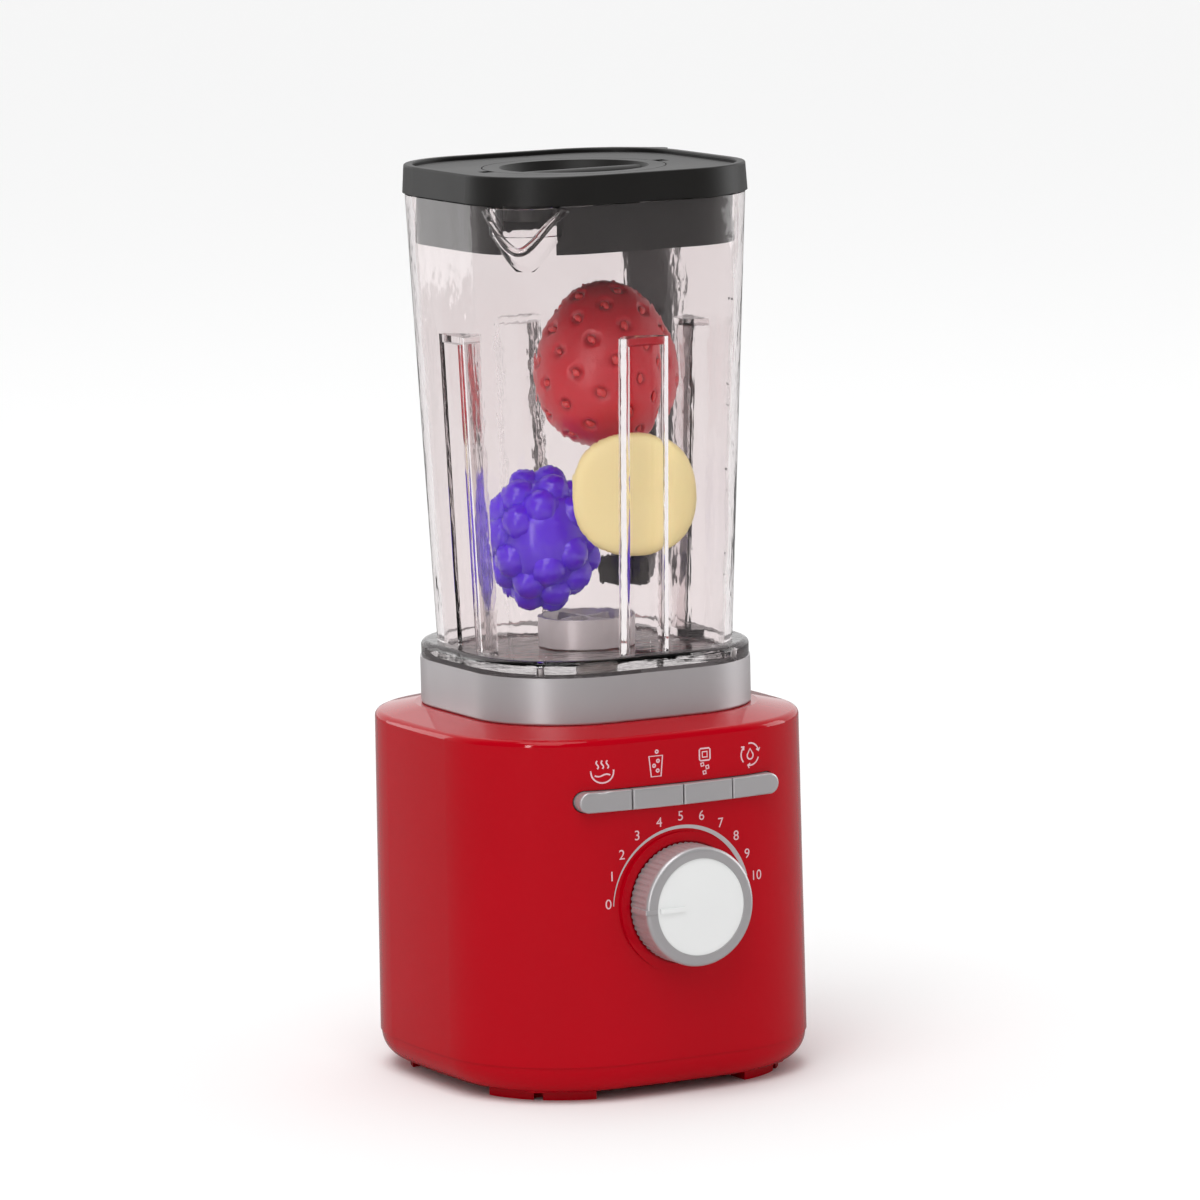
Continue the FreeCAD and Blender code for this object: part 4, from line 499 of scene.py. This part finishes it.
@dataclass
class PlayBerry:
    """Berry of round drupelets on a smooth heart, which shows on the side of the view."""

    shaders: ShaderLibrary
    tree: bpy.types.NodeTree
    drupelet_radius: float = 6.3
    drupelet_count: int = 40
    least_scale: float = 0.95
    heart_depth: float = 5.2
    heart_shift: float = 2.5
    heart_rings: int = 40
    bare_from: float = 0.9
    hollow_until: float = 0.66
    hollow_to_bump: float = 0.24
    view_way: Vector = field(default_factory=lambda: Vector((-0.33, -0.93, 0.12)))

    def build(self) -> list[bpy.types.Object]:
        """Make the heart and the drupelets in place of the CAD node.

        Returns:
            The two pieces.
        """
        centre, half = middle_of("play_berry")
        inset = self.drupelet_radius * MM
        reach = half - Vector((1, 1, 1)) * inset
        places = []
        for way in spread_on_ball(self.drupelet_count):
            if way.dot(self.view_way) > self.bare_from:
                continue
            spot = Vector((way.x * reach.x, way.y * reach.y, way.z * reach.z))
            out = Vector((way.x / reach.x, way.y / reach.y, way.z / reach.z)).normalized()
            places.append((centre + spot, out))
        material = self.shaders.material("berry_purple")
        heart = ball(tuple(half - Vector((1, 1, 1)) * self.heart_depth * MM), self.heart_rings)
        heart_place = (centre + self.view_way * self.heart_shift * MM, Vector((0, 0, 1)))
        core = scatter("berry_core", self.tree, [heart_place], heart, (1.0, 1.0), material)
        berry = scatter("berry_drupelets", self.tree, places, ball((inset,) * 3),
                        (self.least_scale, 1.0), material)
        for piece in (core, berry):
            write_bulge(piece, self._bulges(piece, centre, half))
            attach(piece, "berry")
        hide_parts("play_berry")
        return [core, berry]

    def _bulges(self, piece: bpy.types.Object, centre: Vector, half: Vector) -> list[float]:
        """Values that are low in the hollows between the drupelets, where they paint shade.

        Args:
            piece: the piece.
            centre: middle of the berry.
            half: its half sizes.

        Returns:
            One value for each vertex.
        """
        values = []
        for vertex in piece.data.vertices:
            away = vertex.co - centre
            scaled = Vector((away.x / half.x, away.y / half.y, away.z / half.z)).length
            # Painted shade: the nearer the middle, the lower the value and the darker the colour.
            values.append(min(1.0, max(0.0, (scaled - self.hollow_until) / self.hollow_to_bump)))
        return values


@dataclass
class Strawberry:
    """Strawberry skin with a dimple and a raised seed at each spot, and painted shade in each
    dimple.
    """

    shaders: ShaderLibrary
    tree: bpy.types.NodeTree
    girth_share: float = 0.985
    egg: float = 0.14
    egg_girth: float = 1.01
    seed_count: int = 66
    bare_top: float = 0.18
    bare_foot: float = 0.12
    seed_half: tuple[float, float, float] = (1.15, 1.7, 0.9)
    seed_rings: int = 10
    seed_scales: tuple[float, float] = (0.85, 1.1)
    seed_sink: float = 0.7
    dimple_radius: float = 3.0
    dimple_depth: float = 1.3
    dimple_power: float = 1.2
    dimple_shade: float = 0.75
    rings: int = 120
    steps: int = 180
    centre: Vector = field(init=False)
    half: Vector = field(init=False)

    def __post_init__(self) -> None:
        """Find the place of the CAD node."""
        self.centre, self.half = middle_of("strawberry")

    def build(self) -> list[bpy.types.Object]:
        """Make the skin and the seeds in place of the CAD node.

        Returns:
            The two pieces.
        """
        seeds = []
        for way in spread_on_ball(self.seed_count):
            turn = math.acos(max(-1.0, min(1.0, -way.z)))
            if self.bare_top < turn < math.pi - self.bare_foot:
                seeds.append(self._on_skin(turn, math.atan2(way.y, way.x)))
        verts, bulges = self._dimpled_skin([spot for spot, _ in seeds])
        skin = mesh_object("strawberry_skin", verts, tube_faces(self.rings, self.steps),
                           self.shaders.material("strawberry_red"))
        write_bulge(skin, bulges)
        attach(skin, "strawberry_fruit")
        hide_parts("strawberry")
        pattern = ball(tuple(size * MM for size in self.seed_half), self.seed_rings)
        places = [(spot - out * self.seed_sink * MM, out) for spot, out in seeds]
        grains = scatter("strawberry_seeds", self.tree, places, pattern, self.seed_scales,
                         self.shaders.material("seed"))
        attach(grains, "strawberry_fruit")
        return [skin, grains]

    def _on_skin(self, turn: float, around: float) -> tuple[Vector, Vector]:
        """Point and outward direction on the egg shape, whose narrow end is up.

        Args:
            turn: angle up from the foot.
            around: angle round the axis.

        Returns:
            The point and the direction.
        """
        radius = self.half.x * self.girth_share
        across = radius * math.sin(turn) * (1 + self.egg * math.cos(turn)) / self.egg_girth
        level = (self.centre.z - self.half.z) + 2 * self.half.z * (1 - math.cos(turn)) / 2
        spot = Vector((self.centre.x + across * math.cos(around),
                       self.centre.y + across * math.sin(around), level))
        out = Vector((math.sin(turn) * math.cos(around), math.sin(turn) * math.sin(around),
                      -math.cos(turn) * radius / self.half.z))
        return spot, out.normalized()

    def _dimpled_skin(self, spots: list[Vector]) -> tuple[list[Vector], list[float]]:
        """Vertices of the skin, pressed in round each seed.

        Args:
            spots: where the seeds are.

        Returns:
            The vertices and the bulge value of each, which drops in a dimple to paint shade there.
        """
        verts, bulges = [], []
        for row in range(self.rings + 1):
            for step in range(self.steps):
                spot, out = self._on_skin(math.pi * row / self.rings,
                                          2 * math.pi * step / self.steps)
                near = min((spot - seed).length for seed in spots)
                dent = max(0.0, 1 - (near / (self.dimple_radius * MM)) ** 2)
                verts.append(spot - out * (dent ** self.dimple_power) * self.dimple_depth * MM)
                # Painted shade: the deeper the dent, the lower the bulge value and the darker the
                # colour.
                bulges.append(1 - self.dimple_shade * dent)
        return verts, bulges


@dataclass
class BananaSlice:
    """Rounded slice with a soft rim, which faces the view."""

    shaders: ShaderLibrary
    half: float = 20.4
    thick: float = 8.0
    squareness: float = 2.3
    steps: int = 96
    view_turn: float = 27.93
    rim_from: float = 0.95
    rim_shade: float = 0.7
    profile: tuple[Point, ...] = (
        (0.0, -0.46), (0.55, -0.47), (0.8, -0.5), (0.93, -0.47), (0.985, -0.36), (1.0, -0.2),
        (1.0, 0.2), (0.985, 0.36), (0.93, 0.47), (0.8, 0.5), (0.55, 0.47), (0.0, 0.46))

    def build(self) -> list[bpy.types.Object]:
        """Make the slice in place of the CAD node.

        Returns:
            The one piece.
        """
        centre, _ = middle_of("banana_slice")
        turn = math.radians(self.view_turn)
        right = Vector((math.cos(turn), -math.sin(turn), 0))
        away = Vector((math.sin(turn), math.cos(turn), 0))
        up = Vector((0, 0, 1))
        half, thick = self.half * MM, self.thick * MM
        verts, bulges = [], []
        for share, depth in self.profile:
            for step in range(self.steps):
                angle = 2 * math.pi * step / self.steps
                cosine, sine = math.cos(angle), math.sin(angle)
                spread = (abs(cosine) ** self.squareness
                          + abs(sine) ** self.squareness) ** (-1 / self.squareness)
                side, rise = half * share * spread * cosine, half * share * spread * sine
                verts.append(centre + right * side + up * rise + away * (depth * thick))
                bulges.append(self.rim_shade if share > self.rim_from else 1.0)
        flesh = mesh_object("banana_flesh", verts, tube_faces(len(self.profile) - 1, self.steps),
                            self.shaders.material("banana_yellow"))
        write_bulge(flesh, bulges)
        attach(flesh, "banana")
        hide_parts("banana_slice")
        return [flesh]


@dataclass
class Surface:
    """A CAD surface that print is laid on, seen along one direction."""

    node: str
    along: Vector
    right: Vector
    start: Vector
    tree: BVHTree = field(init=False)

    def __post_init__(self) -> None:
        """Build the search tree of the node's faces."""
        mesh = frame["nodes"][self.node].data
        self.tree = BVHTree.FromPolygons([v.co.copy() for v in mesh.vertices],
                                         [tuple(p.vertices) for p in mesh.polygons])

    def drop(self, point: Point, lift: float = SMOOTH_PRINT) -> Vector:
        """Place on the surface under a point, lifted a little.

        Args:
            point: sideways and upwards, in millimetres.
            lift: distance off the surface, in metres.

        Returns:
            The place in metres.
        """
        origin = self.start + self.right * (point[0] * MM) + Vector((0, 0, point[1] * MM))
        hit, _, _, _ = self.tree.ray_cast(origin, self.along)
        if hit is None:
            raise ValueError(f"print misses {self.node} at {point}")
        return hit - self.along * lift


def ribbon(points: list[Point], width: float, closed: bool = False) -> list[list[Point]]:
    """Quads of a line with a width.

    Args:
        points: corners in millimetres.
        width: line width in millimetres.
        closed: True when the line runs back to its start.

    Returns:
        Outlines of the quads.
    """
    count = len(points)
    sides = []
    for number, (x, y) in enumerate(points):
        before = points[number - 1] if number or closed else points[number]
        after = points[(number + 1) % count] if number + 1 < count or closed else points[number]
        dx, dy = after[0] - before[0], after[1] - before[1]
        long = math.hypot(dx, dy) or 1.0
        nx, ny = -dy / long * width / 2, dx / long * width / 2
        sides.append(((x + nx, y + ny), (x - nx, y - ny)))
    last = count if closed else count - 1
    return [[sides[n][0], sides[n][1], sides[(n + 1) % count][1], sides[(n + 1) % count][0]]
            for n in range(last)]


def arc(centre: Point, radius: float, first: float, last: float, steps: int = 14,
        squeeze: float = 1.0) -> list[Point]:
    """Points of an arc.

    Args:
        centre: its centre.
        radius: its radius.
        first: angle of the first point in degrees, counted anticlockwise.
        last: angle of the last point.
        steps: number of stretches.
        squeeze: height as a share of the width.

    Returns:
        The points, one more than the stretches.
    """
    return [(centre[0] + radius * math.cos(math.radians(first + (last - first) * n / steps)),
             centre[1] + squeeze * radius
             * math.sin(math.radians(first + (last - first) * n / steps)))
            for n in range(steps + 1)]


def soup_bowl() -> list[Stroke]:
    """Drawing of a steaming bowl.

    Returns:
        The lines in millimetres round the drawing's middle, each with True where it is closed.
    """
    bowl = arc((0, 0.1), 3.8, 180, 360, squeeze=0.95)
    steam = [[(x + 0.4 * math.sin(t * math.pi / 3), 1.2 + t * 0.45) for t in range(7)]
             for x in (-1.7, 0.0, 1.7)]
    wave = [(-2.6 + t * 0.65, -1.0 - 0.35 * math.sin(t * math.pi / 4)) for t in range(9)]
    return [([(-4.1, 0.4), (4.1, 0.4), *reversed(bowl)], True), (wave, False),
            *((line, False) for line in steam)]


def bubbly_tumbler() -> list[Stroke]:
    """Drawing of a tumbler with bubbles.

    Returns:
        The lines in millimetres round the drawing's middle, each with True where it is closed.
    """
    tumbler = [(-2.5, 3.4), (-1.8, -3.4), (1.8, -3.4), (2.5, 3.4)]
    bubbles = [arc(spot, 0.5, 0, 360, 8) for spot in (
        (0.8, 1.7), (-0.7, 0.2), (0.6, -1.5), (0.4, 4.8))]
    return [(tumbler, True), *((bubble, True) for bubble in bubbles)]


def crushed_ice() -> list[Stroke]:
    """Drawing of an ice cube over three crumbs.

    Returns:
        The lines in millimetres round the drawing's middle, each with True where it is closed.
    """
    cube = [(-2.0, 0.7), (-1.6, 0.3), (1.6, 0.3), (2.0, 0.7), (2.0, 3.9), (1.6, 4.3),
            (-1.6, 4.3), (-2.0, 3.9)]
    inner = [(-0.9, 1.4), (0.9, 1.4), (0.9, 3.2), (-0.9, 3.2)]
    crumbs = [[(x, y), (x + 1.0, y + 0.2), (x + 0.8, y + 1.2), (x - 0.2, y + 1.0)]
              for x, y in ((-1.4, -1.6), (0.5, -2.6), (-0.6, -4.3))]
    return [(cube, True), (inner, True), *((crumb, True) for crumb in crumbs)]


def rinsing_drop() -> list[Stroke]:
    """Drawing of a drop inside three turning arrows.

    Returns:
        The lines in millimetres round the drawing's middle, each with True where it is closed.
    """
    strokes = [([(0, 1.9), *arc((0, -0.4), 1.25, 20, -200, 12)], True)]
    sweep, barb, spread = 88, 1.2, 0.7
    for start in (100, 220, 340):
        bend = arc((0, 0), 3.7, start, start - sweep)
        tip = bend[-1]
        lead = math.radians(start - sweep - 90)
        head = [(tip[0] - barb * math.cos(lead + side), tip[1] - barb * math.sin(lead + side))
                for side in (spread, -spread)]
        strokes += [(bend, False), ([head[0], tip, head[1]], False)]
    return strokes


@dataclass
class PanelPrint:
    """Numbers, tapering arc and pictograms printed on the front of the base."""

    shaders: ShaderLibrary
    knob_level: float = 65.0
    figure_size: float = 4.6
    line_width: float = 0.5
    wedge_radius: float = 25.6
    wedge_turns: Point = (178.0, 14.0)
    wedge_least: float = 0.25
    wedge_growth: float = 1.6
    wedge_steps: int = 72
    numbers: tuple[Point, ...] = (
        (-27.2, 66.5), (-25.8, 75.7), (-22.1, 82.6), (-16.4, 88.5), (-8.2, 92.1),
        (-0.2, 93.5), (7.7, 92.9), (14.9, 89.7), (20.8, 84.8), (25.0, 78.3), (28.6, 70.6))
    pictogram_places: tuple[Point, ...] = (
        (-28.1, 110.6), (-8.9, 111.0), (9.45, 110.9), (27.2, 111.4))
    face: Surface = field(init=False)

    def __post_init__(self) -> None:
        """Take the red front as the surface to print on."""
        self.face = Surface("base_housing", Vector((0, 1, 0)), Vector((1, 0, 0)),
                            Vector((0, -RAY_START, 0)))

    def build(self) -> list[bpy.types.Object]:
        """Lay every print on the red front.

        Returns:
            The printed pieces.
        """
        pieces = [*self._numbers(), self._wedge()]
        drawings = (soup_bowl(), bubbly_tumbler(), crushed_ice(), rinsing_drop())
        for number, (centre, lines) in enumerate(zip(self.pictogram_places, drawings)):
            quads = [quad for points, closed in lines for quad in ribbon(
                [(x + centre[0], y + centre[1]) for x, y in points], self.line_width, closed)]
            pieces.append(self._lay(f"pictogram_{number}", quads, "print_pink"))
        return pieces

    def _lay(self, name: str, quads: list[list[Point]], finish: str) -> bpy.types.Object:
        """Mesh of flat outlines dropped on the face.

        Args:
            name: name of the piece.
            quads: outlines in millimetres, sideways and upwards.
            finish: key of FINISHES.

        Returns:
            The piece, which rides with the base.
        """
        verts, faces = [], []
        for quad in quads:
            faces.append(tuple(range(len(verts), len(verts) + len(quad))))
            verts += [self.face.drop(point) for point in quad]
        piece = mesh_object(name, verts, faces, self.shaders.material(finish), smooth=False)
        if piece.data.polygons and piece.data.polygons[0].normal.y > 0:
            piece.data.flip_normals()
        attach(piece, "base")
        return piece

    def _numbers(self) -> list[bpy.types.Object]:
        """Figures 0 to 10 round the knob.

        Returns:
            One piece for each figure.
        """
        pieces = []
        for number, (x, z) in enumerate(self.numbers):
            curve = bpy.data.curves.new(f"figure_{number}", "FONT")
            curve.body = str(number)
            curve.size = self.figure_size
            curve.align_x = "CENTER"
            curve.align_y = "CENTER"
            holder = bpy.data.objects.new(f"text_{number}", curve)
            bpy.context.scene.collection.objects.link(holder)
            bpy.context.view_layer.update()
            graph = bpy.context.evaluated_depsgraph_get()
            flat = bpy.data.meshes.new_from_object(holder.evaluated_get(graph))
            quads = [[(flat.vertices[v].co.x + x, flat.vertices[v].co.y + z)
                      for v in polygon.vertices] for polygon in flat.polygons]
            bpy.data.objects.remove(holder)
            pieces.append(self._lay(f"dial_number_{number}", quads, "print_pink"))
        return pieces

    def _wedge(self) -> bpy.types.Object:
        """Silver arc that widens from the first number to the last.

        Returns:
            The piece.
        """
        first, last = self.wedge_turns
        quads = []
        for number in range(self.wedge_steps):
            corners = []
            for turn in (number / self.wedge_steps, (number + 1) / self.wedge_steps):
                angle = math.radians(first + (last - first) * turn)
                width = self.wedge_least + self.wedge_growth * turn
                for radius in (self.wedge_radius, self.wedge_radius - width):
                    corners.append((radius * math.cos(angle),
                                    self.knob_level + radius * math.sin(angle)))
            quads.append([corners[0], corners[1], corners[3], corners[2]])
        return self._lay("dial_wedge", quads, "print_silver")


@dataclass
class SpoutLip:
    """Rolled bead along the pouring lip, which dips at the jar's front corner."""

    shaders: ShaderLibrary
    corner: float = 225.0
    half_width: float = 15.0
    reach: float = 63.6
    draw_in: float = 9.5
    top: float = 293.5
    dip: float = 12.5
    radius: float = 1.5
    tip_share: float = 0.04
    taper_power: int = 8
    steps: int = 48
    ring: int = 16

    def build(self) -> list[bpy.types.Object]:
        """Sweep a round section along the lip.

        Returns:
            The one piece.
        """
        spots = self._line()
        verts = []
        for number, spot in enumerate(spots):
            ahead = spots[min(number + 1, self.steps)] - spots[max(number - 1, 0)]
            across = ahead.cross(Vector((0, 0, 1))).normalized()
            rise = across.cross(ahead).normalized()
            run = abs(2 * number / self.steps - 1) ** self.taper_power
            taper = math.sqrt(max(0.0, 1 - run)) * (1 - self.tip_share) + self.tip_share
            for step in range(self.ring):
                angle = 2 * math.pi * step / self.ring
                verts.append(spot + (across * math.cos(angle) + rise * math.sin(angle))
                             * (self.radius * taper * MM))
        last = self.steps * self.ring
        faces = tube_faces(self.steps, self.ring)
        faces += [tuple(range(self.ring)), tuple(range(last, last + self.ring))]
        bead = mesh_object("spout_lip", verts, faces, self.shaders.material("clear_jar"))
        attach(bead, "jar")
        return [bead]

    def _line(self) -> list[Vector]:
        """Points along the middle of the bead.

        Returns:
            Places in metres, from end to end.
        """
        turn = math.radians(self.corner)
        out = Vector((math.cos(turn), math.sin(turn), 0))
        side = Vector((-math.sin(turn), math.cos(turn), 0))
        spots = []
        for number in range(self.steps + 1):
            u = -1 + 2 * number / self.steps
            sag = (1 + math.cos(math.pi * u)) / 2
            spots.append((out * (self.reach - self.draw_in * u * u)
                          + side * (self.half_width * u)
                          + Vector((0, 0, self.top - self.dip * sag))) * MM)
        return spots


@dataclass
class KnobPointer:
    """Silver bar that stands out from the side of the knob and points to the numbers."""

    shaders: ShaderLibrary
    half_width: float = 0.75
    proud: float = 0.25
    bevel: float = 0.15
    ridge: float = 0.9
    ring_share: float = 0.82
    depth_share: float = 0.8

    def build(self) -> list[bpy.types.Object]:
        """Make the bar along the knob's side and over its ring; it turns with the knob.

        Returns:
            The one piece.
        """
        low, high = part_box("speed_knob")
        level = (low.z + high.z) / 2
        radius = (high.z - low.z) / 2
        outer, inner = radius + self.ridge * MM, radius * self.ring_share
        front, back = low.y - self.proud * MM, low.y + (high.y - low.y) * self.depth_share
        bevel = self.bevel * MM
        corners = [(-outer, -1), (-inner, -1), (-inner, 1), (-outer, 1)]
        verts = []
        for depth, inset in ((back, 0.0), (front + bevel, 0.0), (front, bevel)):
            for x, side in corners:
                shift = inset if x == -outer else -inset
                verts.append(Vector((x + shift, depth,
                                     level + side * (self.half_width * MM - inset))))
        faces = [(3, 2, 1, 0), (8, 9, 10, 11), *tube_faces(2, len(corners))]
        bar = mesh_object("knob_pointer", verts, faces, self.shaders.material("silver_satin"),
                          smooth=False)
        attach(bar, "knob")
        return [bar]


@dataclass
class JarMarks:
    """Long and short measuring marks on the +X face of the jar."""

    shaders: ShaderLibrary
    levels: tuple[float, ...] = (172.6, 201.0, 229.5, 258.0)
    short_drop: float = 7.0
    start: float = -26.0
    long_end: float = -21.5
    short_end: float = -23.8
    long_width: float = 0.8
    short_width: float = 0.55

    def build(self) -> list[bpy.types.Object]:
        """Lay the marks, which ride with the jar.

        Returns:
            The one piece.
        """
        face = Surface("jar_vessel", Vector((-1, 0, 0)), Vector((0, 1, 0)),
                       Vector((RAY_START, 0, 0)))
        quads = []
        for level in self.levels:
            quads += ribbon([(self.start, level), (self.long_end, level)], self.long_width)
            low = level - self.short_drop
            quads += ribbon([(self.start, low), (self.short_end, low)], self.short_width)
        verts, faces = [], []
        for quad in quads:
            faces.append(tuple(range(len(verts), len(verts) + len(quad))))
            verts += [face.drop(point) for point in quad]
        marks = mesh_object("jar_marks", verts, faces, self.shaders.material("print_black"),
                            smooth=False)
        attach(marks, "jar")
        return [marks]


@dataclass(frozen=True)
class Softbox:
    """One area lamp, in metres and watts; a mirror lamp shows only in reflections."""

    name: str
    place: tuple[float, float, float]
    size: Point
    power: float
    mirror_only: bool = False


def round_softbox(name: str, turn: float, width: float, power: float) -> Softbox:
    """Upright mirror lamp on a circle round the object.

    Args:
        name: name of the lamp.
        turn: its direction in degrees.
        width: its width in metres.
        power: its power in watts.

    Returns:
        The lamp's values.
    """
    circle, level, height = 1.9, 0.35, 1.5
    way = math.radians(turn)
    return Softbox(name, (circle * math.cos(way), circle * math.sin(way), level),
                   (width, height), power, True)


@dataclass
class Studio:
    """Pale floor, soft lights and the camera at the photo's angle."""

    azimuth: float = -27.93
    elevation: float = 8.23
    roll: float = -1.28
    distance: float = 2.642
    lens: float = 236.5
    shift: Point = (0.0133, 0.0194)
    aim_level: float = 0.15
    sun_energy: float = 1.1
    sun_angle: float = 40.0
    sun_turn: Point = (14.0, -16.0)
    softboxes: tuple[Softbox, ...] = (
        Softbox("key", (-1.6, -1.8, 2.0), (1.1, 1.1), 9.0),
        Softbox("top", (0.3, 0.9, 2.0), (1.6, 1.6), 6.0),
        round_softbox("band", 213.0, 0.13, 9.0),
        round_softbox("edge", 352.0, 0.9, 13.0),
        round_softbox("rear", 120.0, 0.5, 5.0))
    sensor: float = 36.0
    clip: Point = (0.05, 60.0)
    floor_reach: float = 14.0
    floor_grain: float = 3.0
    floor_roughness: Point = (0.9, 0.95)
    floor_specular: float = 0.1
    floor_tone: float = 0.95
    mirrored_floor_tone: float = 0.3
    even_light: float = 0.66
    mirrored_light: Point = (0.06, 1.0)
    bright_way: tuple[float, float, float] = (0.46, 0.87, 0.0)
    bright_span: Point = (-0.2, 0.7)

    def build(self) -> None:
        """Make the floor, the lights, the world and the camera."""
        self._floor()
        self._world()
        for softbox in self.softboxes:
            self._lamp(softbox)
        sun = bpy.data.lights.new("sun", "SUN")
        sun.energy, sun.angle = self.sun_energy, math.radians(self.sun_angle)
        item = bpy.data.objects.new("sun", sun)
        item.rotation_euler = (*(math.radians(turn) for turn in self.sun_turn), 0)
        bpy.context.scene.collection.objects.link(item)
        self._camera()

    @staticmethod
    def _seen_in_mirror(tree: bpy.types.NodeTree) -> bpy.types.NodeSocket:
        """Mask that is 1 for mirror rays which haven't passed through the clear jar.

        Args:
            tree: node tree of the world or of a material.

        Returns:
            The output socket of the mask.
        """
        path, first = tree.nodes.new("ShaderNodeLightPath"), tree.nodes.new("ShaderNodeMath")
        mirror = tree.nodes.new("ShaderNodeMath")
        first.operation, mirror.operation = "LESS_THAN", "MULTIPLY"
        first.inputs[1].default_value = 0.5
        tree.links.new(path.outputs["Transmission Depth"], first.inputs[0])
        tree.links.new(path.outputs["Is Glossy Ray"], mirror.inputs[0])
        tree.links.new(first.outputs["Value"], mirror.inputs[1])
        return mirror.outputs["Value"]

    def _floor(self) -> None:
        """Wide pale floor, darker where the object mirrors it."""
        material = bpy.data.materials.new("floor")
        material.use_nodes = True
        nodes, link = material.node_tree.nodes, material.node_tree.links.new
        shader = nodes["Principled BSDF"]
        noise, ramp = nodes.new("ShaderNodeTexNoise"), nodes.new("ShaderNodeMapRange")
        noise.inputs["Scale"].default_value = self.floor_grain
        ramp.inputs["To Min"].default_value = self.floor_roughness[0]
        ramp.inputs["To Max"].default_value = self.floor_roughness[1]
        link(noise.outputs["Fac"], ramp.inputs["Value"])
        link(ramp.outputs["Result"], shader.inputs["Roughness"])
        tone = nodes.new("ShaderNodeMapRange")
        tone.inputs["To Min"].default_value = self.floor_tone
        tone.inputs["To Max"].default_value = self.mirrored_floor_tone
        link(self._seen_in_mirror(material.node_tree), tone.inputs["Value"])
        link(tone.outputs["Result"], shader.inputs["Base Color"])
        shader.inputs["Specular IOR Level"].default_value = self.floor_specular
        reach = self.floor_reach
        floor = mesh_object("floor", [Vector((x, y, 0)) for x, y in (
            (-reach, -reach), (reach, -reach), (reach, reach), (-reach, reach))],
            [(0, 1, 2, 3)], material)

    def _world(self) -> None:
        """Even light, but mirror rays see the space behind the object brighter than the front."""
        world = bpy.data.worlds.new("studio")
        bpy.context.scene.world = world
        world.use_nodes = True
        nodes, link = world.node_tree.nodes, world.node_tree.links.new
        place, dot = nodes.new("ShaderNodeTexCoord"), nodes.new("ShaderNodeVectorMath")
        dot.operation = "DOT_PRODUCT"
        dot.inputs[1].default_value = self.bright_way
        ramp, even = nodes.new("ShaderNodeMapRange"), nodes.new("ShaderNodeMix")
        ramp.inputs["From Min"].default_value = self.bright_span[0]
        ramp.inputs["From Max"].default_value = self.bright_span[1]
        ramp.inputs["To Min"].default_value = self.mirrored_light[0]
        ramp.inputs["To Max"].default_value = self.mirrored_light[1]
        even.inputs["A"].default_value = self.even_light
        nodes["Background"].inputs["Color"].default_value = (1, 1, 1, 1)
        link(place.outputs["Generated"], dot.inputs[0])
        link(dot.outputs["Value"], ramp.inputs["Value"])
        link(self._seen_in_mirror(world.node_tree), even.inputs["Factor"])
        link(ramp.outputs["Result"], even.inputs["B"])
        link(even.outputs["Result"], nodes["Background"].inputs["Strength"])

    def _lamp(self, softbox: Softbox) -> None:
        """Make one area lamp, which looks at the middle of the object.

        Args:
            softbox: its values.
        """
        place = Vector(softbox.place)
        lamp = bpy.data.lights.new(softbox.name, "AREA")
        lamp.shape = "RECTANGLE"
        lamp.size, lamp.size_y = softbox.size
        lamp.energy = softbox.power
        item = bpy.data.objects.new(softbox.name, lamp)
        item.location = place
        item.rotation_mode = "QUATERNION"
        item.rotation_quaternion = (Vector((0, 0, self.aim_level)) - place).to_track_quat("-Z", "Y")
        bpy.context.scene.collection.objects.link(item)
        if softbox.mirror_only:
            item.visible_diffuse = item.visible_transmission = item.visible_camera = False

    def _camera(self) -> None:
        """Camera at the photo's place, turned a little about its own line of sight."""
        azimuth, elevation = math.radians(self.azimuth), math.radians(self.elevation)
        right = Vector((math.cos(azimuth), math.sin(azimuth), 0))
        back = Vector((math.sin(azimuth) * math.cos(elevation),
                       -math.cos(azimuth) * math.cos(elevation), math.sin(elevation)))
        up = back.cross(right)
        cosine, sine = math.cos(math.radians(self.roll)), math.sin(math.radians(self.roll))
        side, top = right * cosine + up * sine, up * cosine - right * sine
        data = bpy.data.cameras.new("camera")
        data.lens, data.sensor_width = self.lens, self.sensor
        data.shift_x, data.shift_y = self.shift
        data.clip_start, data.clip_end = self.clip
        camera = bpy.data.objects.new("camera", data)
        place = Vector((0, 0, self.aim_level)) + back * self.distance
        turn = Matrix((side, top, back)).transposed().to_4x4()
        camera.matrix_world = Matrix.Translation(place) @ turn
        bpy.context.scene.collection.objects.link(camera)
        bpy.context.scene.camera = camera


def paint_nodes(shaders: ShaderLibrary) -> None:
    """Give each shown CAD node the material of its slot in the record.

    Args:
        shaders: library that makes the materials.
    """
    slots = {part["node"]: part["material_slot"] for part in frame["record"]["subparts"]}
    for name, item in frame["nodes"].items():
        item.data.materials.clear()
        item.data.materials.append(shaders.material(slots[name]))
        log.info("%s: %s", name, slots[name])


def main() -> None:
    """Build the looks round the frame and report each piece."""
    logging.basicConfig(level=logging.INFO)
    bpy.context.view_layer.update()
    bpy.context.scene.view_settings.view_transform = "Standard"
    shaders = ShaderLibrary()
    paint_nodes(shaders)
    tree = scatter_tree()
    makers = (PlayBerry(shaders, tree), Strawberry(shaders, tree), BananaSlice(shaders),
              PanelPrint(shaders), SpoutLip(shaders), KnobPointer(shaders), JarMarks(shaders))
    for maker in makers:
        for piece in maker.build():
            log.info("%s: %s, %d faces", type(maker).__name__, piece.name,
                     len(piece.data.polygons))
    Studio().build()


if __name__ == "__main__":
    main()
